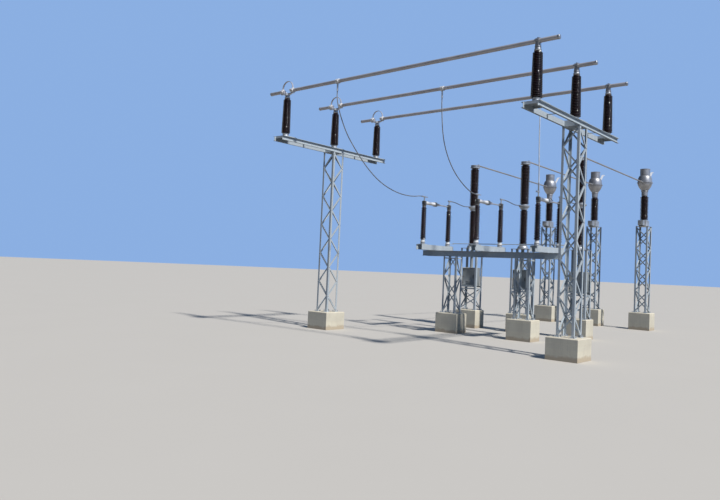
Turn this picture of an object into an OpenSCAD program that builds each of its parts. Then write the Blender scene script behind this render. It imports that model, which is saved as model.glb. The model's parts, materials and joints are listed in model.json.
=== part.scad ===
// Switchgear bay for 110 kV: three tubular busbars on two lattice supports, droppers,
// a three-pole centre-break disconnector, a three-pole live-tank circuit breaker and
// three current transformers. X runs along the busbars, Y towards the transformers.

/* [Busbars] */
// Distance between the two busbar supports
bay_length = 9000; // [8400:50:10000]
// Distance between neighbouring busbars
phase_gap = 2300; // [2100:10:2600]
// Outer diameter of the busbar tubes
tube_d = 110; // [90:2:130]
// Free length of each tube past the right support
tube_overhang = 550; // [300:10:900]
// Free length of the next span's tube past the left support
stub_length = 800; // [500:10:1200]
// Gap between the two tube ends over each left support insulator
tube_gap = 300; // [240:10:340]

/* [Busbar supports] */
// Height of a lattice column, from its foundation to the crossbeam
column_h = 5620; // [5000:20:6200]
// Width of a lattice column over its legs
column_w = 500; // [440:10:600]
// Leg width of the column's corner angles
column_leg = 70; // [60:5:90]
// Thickness of the column's corner angles
column_leg_t = 7; // [6:1:9]
// Width of the flat bracing bars of the columns
column_bar_w = 45; // [35:1:60]
// Number of bracing bars on each face of a column
column_bars = 11; // [9:1:13]
// Height of the crossbeam's channels
beam_h = 140; // [120:5:200]
// Flange width of the crossbeam's channels
beam_flange = 60; // [50:5:80]
// Length of the crossbeam past the outer insulators' axes
beam_overhang = 300; // [280:10:500]
// Length of the plate under each insulator, along the crossbeam
seat_length = 500; // [460:10:560]

/* [Post insulators] */
// Height of a busbar insulator with both fittings
post_h = 1381; // [1200:1:1500]
// Diameter of its lowest shed
post_shed_bottom_d = 290; // [260:5:310]
// Diameter of its highest shed
post_shed_top_d = 245; // [220:5:255]
// Number of sheds on a busbar insulator
post_sheds = 26; // [20:1:30]
// Height from an insulator's cap to the tube's axis
clamp_rise = 145; // [120:1:180]

/* [Foundations] */
// Height of the concrete blocks under the busbar supports
foundation_h = 600; // [500:10:900]
// Width of the blocks under the busbar supports
column_block_w = 900; // [800:10:1100]
// Height of the blocks under the disconnector and the breaker
equipment_foundation_h = 700; // [500:10:900]
// Height of the current transformers' blocks
ct_foundation_h = 740; // [600:10:900]
// Width of the blocks under the trestles, along the busbars
trestle_block_w = 900; // [800:10:1050]
// Depth of the blocks under the trestles
trestle_block_d = 650; // [600:10:800]
// Width of the blocks under the breaker poles
breaker_block_w = 900; // [880:10:1100]
// Depth of the blocks under the breaker poles
breaker_block_d = 650; // [620:10:800]
// Width of the blocks under the current transformers
ct_block_w = 900; // [800:10:1000]
// Depth of the blocks under the current transformers
ct_block_d = 680; // [640:10:900]

/* [Disconnector] */
// Distance between neighbouring poles of all equipment
pole_gap = 2250; // [2100:10:2400]
// Distance of the disconnector's near posts from the middle busbar
near_post_y = 2490; // [2300:10:2600]
// Distance between the near and the far post of a pole
post_spacing = 1600; // [1500:10:1700]
// Height of a trestle between its block and the table
trestle_h = 2035; // [1900:5:2300]
// Width of a trestle along the table
trestle_w = 560; // [500:10:650]
// Depth of a trestle
trestle_d = 400; // [360:10:480]
// Distance of each trestle from the middle pole
trestle_offset = 1440; // [1300:10:1600]
// Height of the table's long channels
table_h = 200; // [160:5:220]
// Height of a pole's base channels
pole_base_h = 200; // [160:5:220]
// Height of a rotary bearing
bearing_h = 80; // [70:5:120]
// Height of a rotating insulator between its fittings
rotor_porcelain_h = 1215; // [1100:5:1300]
// Diameter of its sheds
rotor_shed_d = 205; // [195:5:220]
// Number of its sheds
rotor_sheds = 14; // [12:1:18]
// Diameter of the near contact arm
near_arm_d = 120; // [90:2:122]
// Diameter of the far contact arm
far_arm_d = 46; // [36:2:60]
// Thickness of the contact blade
blade_t = 20; // [12:1:24]
// Clearance of the blade to the contact fingers, above and below
blade_clearance = 8; // [6:1:12]
// Radius of the cranks that the coupling rod joins
crank_r = 220; // [200:5:260]
// Diameter of the coupling rod
rod_d = 27; // [20:1:34]

/* [Circuit breaker] */
// Distance of the breaker poles from the middle busbar
breaker_y = 5850; // [5600:10:6200]
// Height of a breaker's leg frame
breaker_frame_h = 2450; // [2300:10:2700]
// Width of a breaker's leg frame, along the busbars
breaker_frame_w = 740; // [700:10:800]
// Depth of a breaker's leg frame
breaker_frame_d = 460; // [440:10:500]
// Height of the mechanism cabinet over the concrete block
cabinet_lift = 950; // [800:10:1100]
// Height of the mechanism cabinet
cabinet_h = 720; // [600:10:850]
// Width of the mechanism cabinet
cabinet_w = 600; // [500:10:620]
// Depth of the mechanism cabinet
cabinet_d = 360; // [300:10:380]
// Height of the supporting porcelain
breaker_low_h = 1340; // [1200:10:1450]
// Diameter of the supporting porcelain's sheds
breaker_low_d = 290; // [260:5:310]
// Number of its sheds
breaker_low_sheds = 24; // [18:1:28]
// Height of the interrupter porcelain
breaker_top_h = 1530; // [1300:10:1600]
// Diameter of the interrupter porcelain's sheds
breaker_top_d = 340; // [310:5:370]
// Number of its sheds
breaker_top_sheds = 26; // [20:1:30]

/* [Current transformers] */
// Distance of the transformers from the middle busbar
ct_y = 12700; // [12200:10:13200]
// Height of a pedestal
ct_pedestal_h = 3770; // [3400:10:4100]
// Width of a pedestal
ct_pedestal_w = 520; // [460:10:560]
// Height of the base box
ct_box_h = 280; // [240:10:320]
// Width of the base box
ct_box_w = 360; // [330:10:440]
// Height of the porcelain
ct_porcelain_h = 1080; // [1000:10:1300]
// Diameter of the porcelain's sheds
ct_shed_d = 340; // [300:5:345]
// Number of its sheds
ct_sheds = 17; // [14:1:22]
// Greatest diameter of the head
ct_bowl_d = 650; // [600:5:680]
// Height of the neck under the head
ct_neck_h = 220; // [160:5:260]
// Height of the head's bowl
ct_bowl_h = 660; // [600:5:720]
// Height of the cylinder on top of the head
ct_top_h = 310; // [240:5:360]

/* [Conductors] */
// Diameter of the hanging conductors
dropper_d = 32; // [24:1:40]
// Diameter of the tubes from the breaker to the transformers
link_tube_d = 56; // [50:2:90]

/* [Hidden] */
$fn = 32;

steel = "silver";
aluminium = "gainsboro";
porcelain_brown = "#2a1410";
concrete = "wheat";
cabinet_grey = "slategray";

// Clearance between seated round faces
seat = 0.3;
// Running clearance of pins and shafts
running = 0.5;
// Thickness of base, head and seat plates
plate_t = 12;
// Width of the square plate under each leg
foot_w = 150;
// Web and flange thickness of the rolled channels
web_t = 8;
// Flat leg and lip of the angle bars that brace the frames
bar_t = 5;
bar_lip_h = 32;
bar_lip_t = 5;
// Gap between the bars of neighbouring faces
face_gap = 1;
// Bars and ties stay this far from the ends of a frame's legs
brace_end = 45;
// Chamfer of the concrete blocks' upper edges
block_chamfer = 20;

// Corner angles and bars of the equipment's frames
trestle_leg = 65;
trestle_leg_t = 6;
trestle_bars = 3;
breaker_leg = 75;
breaker_leg_t = 7;
breaker_bars = 2;
ct_leg = 70;
ct_leg_t = 7;
ct_bars = 8;
ct_bar_w = 50;
frame_bar_w = 40;

// Heights of the busbar supports
column_top = foundation_h + column_h;
beam_top = column_top + beam_h;
post_base = beam_top + plate_t;
post_top = post_base + post_h;
tube_z = post_top + clamp_rise;
column_places = [0, -bay_length];
phase_places = [-phase_gap, 0, phase_gap];
beam_length = 2 * (phase_gap + beam_overhang);
beam_inner_w = column_w - 2 * beam_flange;

// Cross members of the crossbeams
head_channel_flange = 60;
seat_angle = 60;
seat_angle_t = 6;
strut_w = 60;
strut_t = 8;
strut_drop = 50;
strut_shift = 150;
cleat_w = 40;

// Fittings of the busbar insulators
fitting_h = 110;
fitting_d = 212;
fitting_flange_d = 248;
fitting_flange_t = 18;
cap_h = 100;
cap_d = 176;
cap_ring_h = 55;
cap_neck_d = 138;

// Porcelain bodies: plain ends, and the core's share of the sheds' diameter
porcelain_end = 30;
porcelain_core = 0.67;
rotor_core = 0.66;

// The highest shed of these insulators is this much smaller than the lowest
rotor_taper = 20;

// Clamps around the tubes: wall, length, bolting ears and saddle
clamp_wall = 20;
clamp_w = 120;
ear_w = 34;
ear_t = 13;
saddle_foot_d = cap_d - 20;
saddle_foot_t = 16;
saddle_rib_t = 70;
saddle_rib_inset = 10;

// Forks over the left support: distance of their clamps from the insulator's axis, arms and strap
clamp_x = tube_gap / 2 + 90;
fork_w = 50;
fork_h = 60;
loop_boss = 12;
loop_boss_d = 56;
strap_w = 50;
strap_t = 14;

// Hanging part of the dropper clamps
lug_w = 60;
lug_t = 16;
lug_h = 95;
ferrule_d = 50;

// Heights of the disconnector
table_bottom = equipment_foundation_h + trestle_h;
table_top = table_bottom + table_h;
table_flange = 65;
table_overhang = 450;
pole_base_top = table_top + pole_base_h;
pole_base_flange = 50;
pole_base_overhang = 210;
pole_base_w = 250;
bearing_top = pole_base_top + bearing_h;
bearing_gap = 1;
rotor_plate_t = 20;
rotor_fitting_h = 60;
rotor_fitting_d = 140;
rotor_porcelain_base = bearing_top + bearing_gap + rotor_plate_t + rotor_fitting_h;
rotor_porcelain_top = rotor_porcelain_base + rotor_porcelain_h;
rotor_cap_h = 50;
rotor_cap_d = 140;
head_h = 130;
head_w = 124;
head_base = rotor_porcelain_top + rotor_cap_h;
arm_z = head_base + head_h / 2;
arm_start = head_w / 2 - 20;
head_top = head_base + head_h;
far_post_y = near_post_y + post_spacing;
pole_places = [for (i = [-1:1]) -bay_length / 2 + i * pole_gap];
bearing_d = 180;
bearing_flange_t = 25;
bearing_body_d = 150;
bearing_floor_t = 15;
spindle_d = 80;
spindle_gap = 10;

// Swivel terminals: stud in the turning head, collar, hub and horizontal ferrule
stud_d = 40;
stud_depth = 60;
collar_d = 70;
collar_t = 22;
collar_gap = 5;
hub_d = 42;
terminal_rise = 164;
terminal_z = head_top + terminal_rise;
ferrule_reach = 150;
ferrule_tail = 60;
tee_boss_h = 70;
tee_boss_d = 60;
rope_tail = 190;

// The near arm's fingers reach this far past the middle, the blade this far beyond it
finger_reach = post_spacing / 2 + 100;
finger_root = post_spacing / 2 - 60;
finger_count = 5;
finger_w = 16;
finger_gap = 6;
finger_t = 22;
contact_w = finger_count * finger_w + (finger_count - 1) * finger_gap;
contact_block = 125;
contact_block_h = 150;
blade_w = 60;
blade_reach = post_spacing / 2 + 20;
far_tube_reach = post_spacing - finger_reach - 20;

// Cranks and the eyes of the coupling rod
crank_angle = 45;
crank_w = 50;
crank_t = 12;
crank_pin_d = 20;
rod_eye_d = 50;
rod_eye_h = 30;
rod_eye_gap = 3;

// Heights of the breaker
breaker_frame_top = equipment_foundation_h + breaker_frame_h;
breaker_base_h = 160;
breaker_base_d = 440;
breaker_low_base = breaker_frame_top + breaker_base_h;
breaker_low_top = breaker_low_base + breaker_low_h;
mid_flange_h = 190;
mid_disc_t = 45;
mid_disc_d = breaker_top_d + 60;
mid_terminal_z = breaker_low_top + 130;
mid_terminal_reach = 300;
breaker_top_base = breaker_low_top + mid_flange_h;
breaker_top_top = breaker_top_base + breaker_top_h;
top_flange_h = 120;
top_flange_d = breaker_top_d + 20;
breaker_top = breaker_top_top + top_flange_h;
cabinet_base = equipment_foundation_h + cabinet_lift;
cabinet_roof_t = 22;
cabinet_roof_lip = 22;
cabinet_door_t = 8;
cabinet_door_edge = 28;
rail_w = 50;
rail_t = 5;
drive_tube_d = 120;

// Heights of the current transformers and the sizes of their heads
ct_box_base = ct_foundation_h + ct_pedestal_h;
ct_porcelain_base = ct_box_base + ct_box_h;
ct_head_base = ct_porcelain_base + ct_porcelain_h;
ct_head_h = ct_neck_h + ct_bowl_h + ct_top_h;
ct_collar_d = 300;
ct_neck_d = 260;
ct_top_d = 410;
ct_rim_t = 34;
ct_cone_h = ct_bowl_h * 0.5;
ct_terminal_z = ct_head_base + ct_neck_h + ct_cone_h + ct_rim_t / 2;
secondary_box = [220, 280, 220];
secondary_box_lift = 30;

// Horn terminal: a flat strap that rises from the bowl and bends away to a drilled pad
horn_w = 90;
horn_t = 20;
horn_y = ct_bowl_d / 2 + 14;
horn_reach = 560;
horn_top_z = ct_head_base + ct_head_h - 30;
pad_length = 150;
pad_hole_d = 14;
pad_hole_gap = 40;

// Tubes from the breaker to the transformers: clamp on the breaker, socket on the transformer
link_wall = 15;
link_clamp = [breaker_y + 270, breaker_top + 30];
link_socket = [ct_y - ct_bowl_d / 2 - 200, ct_terminal_z];
link_run = link_socket - link_clamp;
link_tilt = atan2(link_run[1], link_run[0]);
link_tail = 75;
socket_depth = 70;
terminal_arm_w = 90;
terminal_arm_t = 18;
top_arm_t = 36;
top_arm_drop = 4;

// Routes of the hanging conductors, chosen by hand
near_dropper_route = [
    [-6720, -2300, 7600], [-6720, -2300, 7450], [-6705, -2280, 7250], [-6670, -2230, 7000],
    [-6640, -2140, 6750], [-6625, -2010, 6510], [-6618, -1838, 6270], [-6620, -1632, 6060],
    [-6625, -1395, 5850], [-6630, -1138, 5640], [-6640, -860, 5440], [-6650, -560, 5260],
    [-6660, -258, 5110], [-6670, 55, 4990], [-6680, 378, 4900], [-6690, 700, 4835],
    [-6700, 1020, 4795], [-6710, 1340, 4780], [-6720, 1660, 4785], [-6740, 1960, 4815],
    [-6750, 2190, 4850], [-6750, 2260, 4855], [-6750, 2340, 4855]
];
middle_dropper_route = [
    [-4400, 0, 7600], [-4400, 0, 7450], [-4400, 20, 7200], [-4400, 55, 6900],
    [-4405, 112, 6600], [-4410, 205, 6300], [-4420, 360, 6010], [-4430, 556, 5750],
    [-4440, 785, 5520], [-4450, 1050, 5320], [-4460, 1340, 5150], [-4475, 1660, 5005],
    [-4490, 1940, 4910], [-4500, 2150, 4865], [-4500, 2250, 4855], [-4500, 2340, 4855]
];
far_dropper_route = [
    [-2190, 2300, 7600], [-2190, 2300, 7400], [-2195, 2310, 7000], [-2205, 2340, 6500],
    [-2220, 2390, 6000], [-2238, 2455, 5600], [-2250, 2490, 5300], [-2250, 2490, 5150]
];
// Route of the leads between the disconnector and the breaker, across and up, the same on each pole
lead_route = [
    [4240, 4855], [4330, 4855], [4520, 4842], [4720, 4815], [4920, 4785],
    [5120, 4765], [5300, 4766], [5450, 4780], [5550, 4780]
];

// Extruded sections of rolled steel, standing on the origin
module angle_section(leg, t) {
    polygon([[0, 0], [leg, 0], [leg, t], [t, t], [t, leg], [0, leg]]);
}

module channel_section(h, flange, t) {
    polygon([[0, 0], [flange, 0], [flange, t], [t, t], [t, h - t], [flange, h - t], [flange, h], [0, h]]);
}

// A channel from y = 0 to y = length with its back at x = 0 and its flanges towards +X
module channel_y(length, h, flange, t) {
    translate([0, length, 0]) rotate([90, 0, 0]) linear_extrude(length) channel_section(h, flange, t);
}

// A channel from x = 0 to x = length with its back at y = 0 and its flanges towards +Y
module channel_x(length, h, flange, t) {
    rotate([90, 0, 90]) linear_extrude(length) channel_section(h, flange, t);
}

// Four corner angles of a lattice frame
module frame_legs(w, d, h, leg, t) {
    for (sx = [-1, 1], sy = [-1, 1])
        mirror([sx > 0 ? 1 : 0, 0, 0]) mirror([0, sy > 0 ? 1 : 0, 0])
            translate([-w / 2, -d / 2, 0]) linear_extrude(h) angle_section(leg, t);
}

// Strips along the bars of a zigzag in the face's plane, from one edge of each bar to another
module zigzag(half, h, bars, low, high, start) {
    pitch = h / bars;
    run_out = frame_bar_w;
    for (i = [0:bars - 1]) {
        side = (i + start) % 2 == 0 ? 1 : -1;
        run = -2 * half * side;
        reach = norm([run, pitch]);
        translate([side * half, i * pitch]) rotate(atan2(pitch, run))
            translate([-run_out, low]) square([reach + 2 * run_out, high - low]);
    }
}

// One braced face: angle bars with their lips towards +Z, and flat ties at the given heights
module braced_face(half, width, h, bars, bar_w, start, ties) {
    linear_extrude(bar_t) intersection() {
        translate([-width / 2, 0]) square([width, h]);
        union() {
            zigzag(half, h, bars, -bar_w / 2, bar_w / 2, start);
            for (z = ties) translate([-width / 2, z]) square([width, bar_w]);
        }
    }
    lip_width = width - 2 * bar_lip_h;
    linear_extrude(bar_lip_h) intersection() {
        translate([-lip_width / 2, 0]) square([lip_width, h]);
        union() {
            zigzag(half, h, bars, -bar_w / 2, -bar_w / 2 + bar_lip_t, start);
            for (z = ties) translate([-width / 2, z]) square([width, bar_lip_t]);
        }
    }
}

// Bracing inside the four faces of a lattice frame
module frame_bracing(w, d, h, bars, bar_w, leg, t, ties = []) {
    inset = t + bar_t + face_gap;
    for (s = [0, 1]) rotate(180 * s) {
        translate([0, -d / 2 + t, 0]) rotate([90, 0, 180])
            braced_face((w - leg) / 2, w - 2 * inset, h, bars, bar_w, 0, ties);
        translate([w / 2 - t, 0, 0]) rotate([90, 0, -90])
            braced_face((d - leg) / 2, d - 2 * inset, h, bars, bar_w, 1, ties);
    }
}

// Square plates under the four legs of a frame, standing on z = 0
module foot_plates(w, d, leg) {
    for (sx = [-1, 1], sy = [-1, 1])
        translate([sx * (w - leg) / 2, sy * (d - leg) / 2, plate_t / 2])
            cube([foot_w, foot_w, plate_t], center = true);
}

// A ribbed porcelain body with plain ends, narrowing from the bottom to the top
module porcelain(h, bottom_d, top_d, sheds, core = porcelain_core) {
    ends = porcelain_end;
    pitch = (h - 2 * ends) / sheds;
    function shed_r(i) = (bottom_d + (top_d - bottom_d) * i / sheds) / 2;
    rotate_extrude($fn = 48) polygon(concat(
        [[0, 0], [shed_r(0) * core, 0]],
        [for (i = [0:sheds - 1]) each [
            [shed_r(i) * core, ends + i * pitch + pitch * 0.12],
            [shed_r(i), ends + i * pitch + pitch * 0.22],
            [shed_r(i), ends + i * pitch + pitch * 0.36],
            [shed_r(i) * core, ends + i * pitch + pitch * 0.92]
        ]],
        [[shed_r(sheds) * core, h], [0, h]]));
}

// A tube swept along a route of points
module swept_tube(route, d, sides) {
    last = len(route) - 1;
    function unit(v) = v / norm(v);
    function heading(i) = unit(route[min(i + 1, last)] - route[max(i - 1, 0)]);
    rings = [for (i = [0:last])
        let (t = heading(i), u = unit(cross(t, [1, 0, 0])), v = cross(t, u))
        for (k = [0:sides - 1]) route[i] + d / 2 * (cos(360 * k / sides) * u + sin(360 * k / sides) * v)];
    walls = [for (i = [0:last - 1], k = [0:sides - 1])
        let (n = (k + 1) % sides)
        [i * sides + k, i * sides + n, (i + 1) * sides + n, (i + 1) * sides + k]];
    caps = [[for (k = [sides - 1:-1:0]) k], [for (k = [0:sides - 1]) last * sides + k]];
    polyhedron(points = rings, faces = concat(walls, caps));
}

// A cylinder along X, centred on the origin
module bar_x(length, d) {
    rotate([0, 90, 0]) cylinder(h = length, d = d, center = true);
}

// A cylinder along Y, centred on the origin
module bar_y(length, d) {
    rotate([90, 0, 0]) cylinder(h = length, d = d, center = true);
}

module each_column() {
    for (x = column_places) translate([x, 0, 0]) children();
}

module each_phase() {
    for (y = phase_places) translate([0, y, 0]) children();
}

module each_pole(y) {
    for (x = pole_places) translate([x, y, 0]) children();
}

// A concrete block with chamfered upper edges
module block(w, d, h) {
    c = block_chamfer;
    function outline(s) = [[-s / 2, 0], [s / 2, 0], [s / 2, h - c], [s / 2 - c, h],
        [-s / 2 + c, h], [-s / 2, h - c]];
    color(concrete) intersection() {
        translate([0, d / 2, 0]) rotate([90, 0, 0]) linear_extrude(d) polygon(outline(w));
        translate([-w / 2, 0, 0]) rotate([90, 0, 90]) linear_extrude(w) polygon(outline(d));
    }
}

// The plate on top of a frame, with its upper face at z = 0
module head_plate(w, d) {
    rim = 10;
    translate([-w / 2 - rim, -d / 2 - rim, -plate_t]) cube([w + 2 * rim, d + 2 * rim, plate_t]);
}

module right_foundation() {
    block(column_block_w, column_block_w, foundation_h);
}

module left_foundation() {
    translate([-bay_length, 0, 0]) block(column_block_w, column_block_w, foundation_h);
}

module each_trestle() {
    for (s = [-1, 1])
        translate([-bay_length / 2 + s * trestle_offset, near_post_y + post_spacing / 2, 0]) children();
}

module equipment_foundations() {
    each_trestle() block(trestle_block_w, trestle_block_d, equipment_foundation_h);
    each_pole(breaker_y) block(breaker_block_w, breaker_block_d, equipment_foundation_h);
    each_pole(ct_y) block(ct_block_w, ct_block_d, ct_foundation_h);
}

module column_legs() {
    color(steel) each_column() translate([0, 0, foundation_h + plate_t])
        frame_legs(column_w, column_w, column_h - 2 * plate_t, column_leg, column_leg_t);
}

module column_bracing() {
    color(steel) each_column() translate([0, 0, foundation_h + plate_t + brace_end])
        frame_bracing(column_w, column_w, column_h - 2 * (plate_t + brace_end), column_bars, column_bar_w,
            column_leg, column_leg_t);
}

// Base plates under the legs and head plates under the crossbeams
module column_plates() {
    color(steel) each_column() {
        translate([0, 0, foundation_h]) foot_plates(column_w, column_w, column_leg);
        translate([0, 0, column_top]) head_plate(column_w, column_w);
    }
}

// Two channels on each column, back to back with the cross members between them
module crossbeam_channels() {
    color(steel) each_column() for (s = [0, 1]) rotate(180 * s)
        translate([column_w / 2 - beam_flange, -beam_length / 2, column_top])
            channel_y(beam_length, beam_h, beam_flange, web_t);
}

// Cross channels over the column, low cross angles under the outer insulators, a plate under
// each insulator, and a flat strut between cleats halfway
module crossbeam_cross_members() {
    color(steel) each_column() {
        each_phase() translate([-column_w / 2, -seat_length / 2, beam_top])
            cube([column_w, seat_length, plate_t]);
        for (s = [0, 1]) rotate(180 * s) {
            translate([-beam_inner_w / 2, -seat_length / 2, column_top])
                channel_x(beam_inner_w, beam_h, head_channel_flange, web_t);
            for (y = [phase_gap - seat_length / 2, phase_gap + seat_length / 2])
                translate([0, y, beam_top]) cross_angle(y < phase_gap ? 0 : 1);
            translate([0, phase_gap / 2 + strut_shift, 0]) strut();
        }
    }
}

// An angle across the beam, one leg under the seat plate and one hanging from its outer edge
module cross_angle(turned) {
    translate([-beam_inner_w / 2, 0, 0]) mirror([0, turned, 0]) rotate([90, 0, 90])
        linear_extrude(beam_inner_w) mirror([0, 1]) angle_section(seat_angle, seat_angle_t);
}

// A flat bar across the beam with an upright cleat on each web
module strut() {
    translate([-beam_inner_w / 2, -strut_w / 2, beam_top - strut_drop])
        cube([beam_inner_w, strut_w, strut_t]);
    for (s = [-1, 1])
        translate([s * (beam_inner_w - strut_t) / 2, 0, column_top + beam_h / 2])
            cube([strut_t, cleat_w, beam_h - 2 * web_t], center = true);
}

module post_insulators() {
    color(porcelain_brown) each_column() each_phase() translate([0, 0, post_base + fitting_h])
        porcelain(post_h - fitting_h - cap_h, post_shed_bottom_d, post_shed_top_d, post_sheds);
}

// Bottom flange and stepped cap of each busbar insulator
module post_insulator_fittings() {
    flange_r = fitting_flange_d / 2;
    body_r = fitting_d / 2;
    ring_r = cap_d / 2;
    neck_r = cap_neck_d / 2;
    color(aluminium) each_column() each_phase() {
        translate([0, 0, post_base]) rotate_extrude($fn = 48) polygon([
            [0, 0], [flange_r, 0], [flange_r, fitting_flange_t], [body_r, fitting_flange_t + 6],
            [body_r - 8, fitting_h], [0, fitting_h]]);
        translate([0, 0, post_top - cap_h]) rotate_extrude($fn = 48) polygon([
            [0, 0], [ring_r - 4, 0], [ring_r, 8], [ring_r, cap_ring_h], [neck_r, cap_ring_h + 8],
            [neck_r, cap_h - 14], [ring_r - 6, cap_h - 10], [ring_r - 6, cap_h], [0, cap_h]]);
    }
}

// A two-part clamp around a tube along X, with bolting ears on both sides
module tube_clamp(length) {
    outer_r = tube_d / 2 + clamp_wall;
    bar_x(length, 2 * outer_r);
    translate([-length / 2, -outer_r - ear_w, -ear_t]) cube([length, 2 * (outer_r + ear_w), 2 * ear_t]);
}

module tube_bore(length) {
    bar_x(length + 2, tube_d + 2 * seat);
}

// Fixed clamps on the right support, each on a ribbed saddle
module busbar_clamps() {
    rib_foot = saddle_foot_d / 2 - saddle_rib_inset;
    color(aluminium) each_phase() translate([0, 0, tube_z]) {
        difference() {
            union() {
                tube_clamp(clamp_w);
                translate([0, 0, -clamp_rise]) cylinder(h = saddle_foot_t, d = saddle_foot_d);
                translate([0, saddle_rib_t / 2, 0]) rotate([90, 0, 0]) linear_extrude(saddle_rib_t)
                    polygon([[-rib_foot, -clamp_rise], [rib_foot, -clamp_rise],
                        [clamp_w / 2, -tube_d / 2], [-clamp_w / 2, -tube_d / 2]]);
                translate([-saddle_rib_t / 2, 0, 0]) rotate([90, 0, 90]) linear_extrude(saddle_rib_t)
                    polygon([[-rib_foot, -clamp_rise], [rib_foot, -clamp_rise],
                        [tube_d / 2 + clamp_wall, 0], [-tube_d / 2 - clamp_wall, 0]]);
            }
            tube_bore(clamp_w);
        }
        translate([0, 0, tube_d / 2 + clamp_wall / 2])
            cylinder(h = clamp_wall / 2 + loop_boss, d = loop_boss_d);
    }
}

// Forks on the left support, each with two clamps around the meeting tubes
module expansion_clamps() {
    drop = clamp_rise - tube_d / 2 - clamp_wall;
    arm_r = (clamp_x * clamp_x + drop * drop) / (2 * drop);
    color(aluminium) translate([-bay_length, 0, 0]) each_phase() translate([0, 0, tube_z]) {
        for (s = [-1, 1]) translate([s * clamp_x, 0, 0]) {
            difference() {
                union() {
                    tube_clamp(clamp_w);
                    translate([-clamp_w / 2, -fork_w / 2, -tube_d / 2 - clamp_wall - fork_h / 3])
                        cube([clamp_w, fork_w, fork_h / 3 + clamp_wall]);
                }
                tube_bore(clamp_w);
            }
            translate([0, 0, tube_d / 2 + clamp_wall / 2])
                cylinder(h = clamp_wall / 2 + loop_boss, d = loop_boss_d);
        }
        translate([0, fork_w / 2, 0]) rotate([90, 0, 0]) linear_extrude(fork_w) intersection() {
            difference() {
                translate([0, arm_r - clamp_rise]) circle(arm_r, $fn = 96);
                translate([0, arm_r - clamp_rise + fork_h / 3]) circle(arm_r - fork_h, $fn = 96);
            }
            translate([-clamp_x, -clamp_rise]) square([2 * clamp_x, drop + clamp_wall / 4]);
        }
        translate([0, 0, -clamp_rise]) cylinder(h = fork_h * 0.7, d = saddle_foot_d);
    }
}

// Arched straps over the gap between the tube ends
module expansion_loops() {
    color(aluminium) translate([-bay_length, 0, 0]) each_phase()
        translate([0, 0, tube_z + tube_d / 2 + clamp_wall + loop_boss]) rotate([90, 0, 0])
            rotate_extrude(angle = 180, $fn = 64)
                translate([clamp_x - strap_t / 2, -strap_w / 2]) square([strap_t, strap_w]);
}

module busbars() {
    color(aluminium) each_phase()
        translate([-bay_length + tube_gap / 2, 0, tube_z]) rotate([0, 90, 0])
            cylinder(h = bay_length - tube_gap / 2 + tube_overhang, d = tube_d, $fn = 48);
}

module busbar_stubs() {
    color(aluminium) each_phase()
        translate([-bay_length - stub_length, 0, tube_z]) rotate([0, 90, 0])
            cylinder(h = stub_length - tube_gap / 2, d = tube_d, $fn = 48);
}

// A domed plug that sleeves over a tube's end at z = 0
module end_plug() {
    sleeve = 30;
    rim = 5;
    rise = 26;
    r = tube_d / 2 + rim;
    difference() {
        translate([0, 0, -sleeve]) rotate_extrude($fn = 48) polygon(concat(
            [[0, 0], [r, 0], [r, sleeve + rim]],
            [for (a = [15:15:90]) [r * cos(a), sleeve + rim + rise * sin(a)]]));
        translate([0, 0, -sleeve - 1]) cylinder(h = sleeve + 1, d = tube_d + 2 * seat);
    }
}

// Bright plugs on the free tube ends
module busbar_end_plugs() {
    color(aluminium) each_phase() {
        translate([tube_overhang, 0, tube_z]) rotate([0, 90, 0]) end_plug();
        translate([-bay_length - stub_length, 0, tube_z]) rotate([0, -90, 0]) end_plug();
    }
}

// Clamps on the busbars with a hanging lug and ferrule for each dropper
module dropper_clamps() {
    starts = [near_dropper_route[0], middle_dropper_route[0], far_dropper_route[0]];
    lug_top = tube_d / 2 + clamp_wall / 2;
    lug_bottom = tube_d / 2 + clamp_wall + lug_h;
    color(aluminium) for (i = [0:2]) translate([starts[i][0], phase_places[i], tube_z]) {
        difference() {
            tube_clamp(clamp_w);
            tube_bore(clamp_w);
        }
        translate([-lug_t / 2, -lug_w / 2, -lug_bottom]) cube([lug_t, lug_w, lug_bottom - lug_top]);
        translate([0, 0, starts[i][2] - tube_z])
            cylinder(h = tube_z - starts[i][2] - lug_bottom + lug_w / 2, d = ferrule_d);
    }
}

module near_dropper() {
    color("dimgray") swept_tube(near_dropper_route, dropper_d, 8);
}

module middle_dropper() {
    color("dimgray") swept_tube(middle_dropper_route, dropper_d, 8);
}

module far_dropper() {
    color("dimgray") swept_tube(far_dropper_route, dropper_d, 8);
}

// A plate under each leg of the trestles, the breaker frames and the transformers' pedestals
module equipment_foot_plates() {
    color(steel) {
        translate([0, 0, equipment_foundation_h]) {
            each_trestle() foot_plates(trestle_w, trestle_d, trestle_leg);
            each_pole(breaker_y) foot_plates(breaker_frame_w, breaker_frame_d, breaker_leg);
        }
        each_pole(ct_y) translate([0, 0, ct_foundation_h]) foot_plates(ct_pedestal_w, ct_pedestal_w, ct_leg);
    }
}

module trestle_legs() {
    color(steel) each_trestle() translate([0, 0, equipment_foundation_h + plate_t])
        frame_legs(trestle_w, trestle_d, trestle_h - plate_t, trestle_leg, trestle_leg_t);
}

module trestle_bracing() {
    h = trestle_h - plate_t - 2 * brace_end;
    color(steel) each_trestle() translate([0, 0, equipment_foundation_h + plate_t + brace_end])
        frame_bracing(trestle_w, trestle_d, h, trestle_bars, frame_bar_w, trestle_leg, trestle_leg_t,
            [h - frame_bar_w]);
}

// Long channels of the disconnector's table
module table_channels() {
    length = 2 * (pole_gap + table_overhang);
    color(steel) translate([-bay_length / 2, near_post_y + post_spacing / 2, table_bottom])
        for (s = [0, 1]) rotate(180 * s)
            translate([-length / 2, trestle_d / 2 - table_flange, 0])
                channel_x(length, table_h, table_flange, web_t);
}

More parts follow.
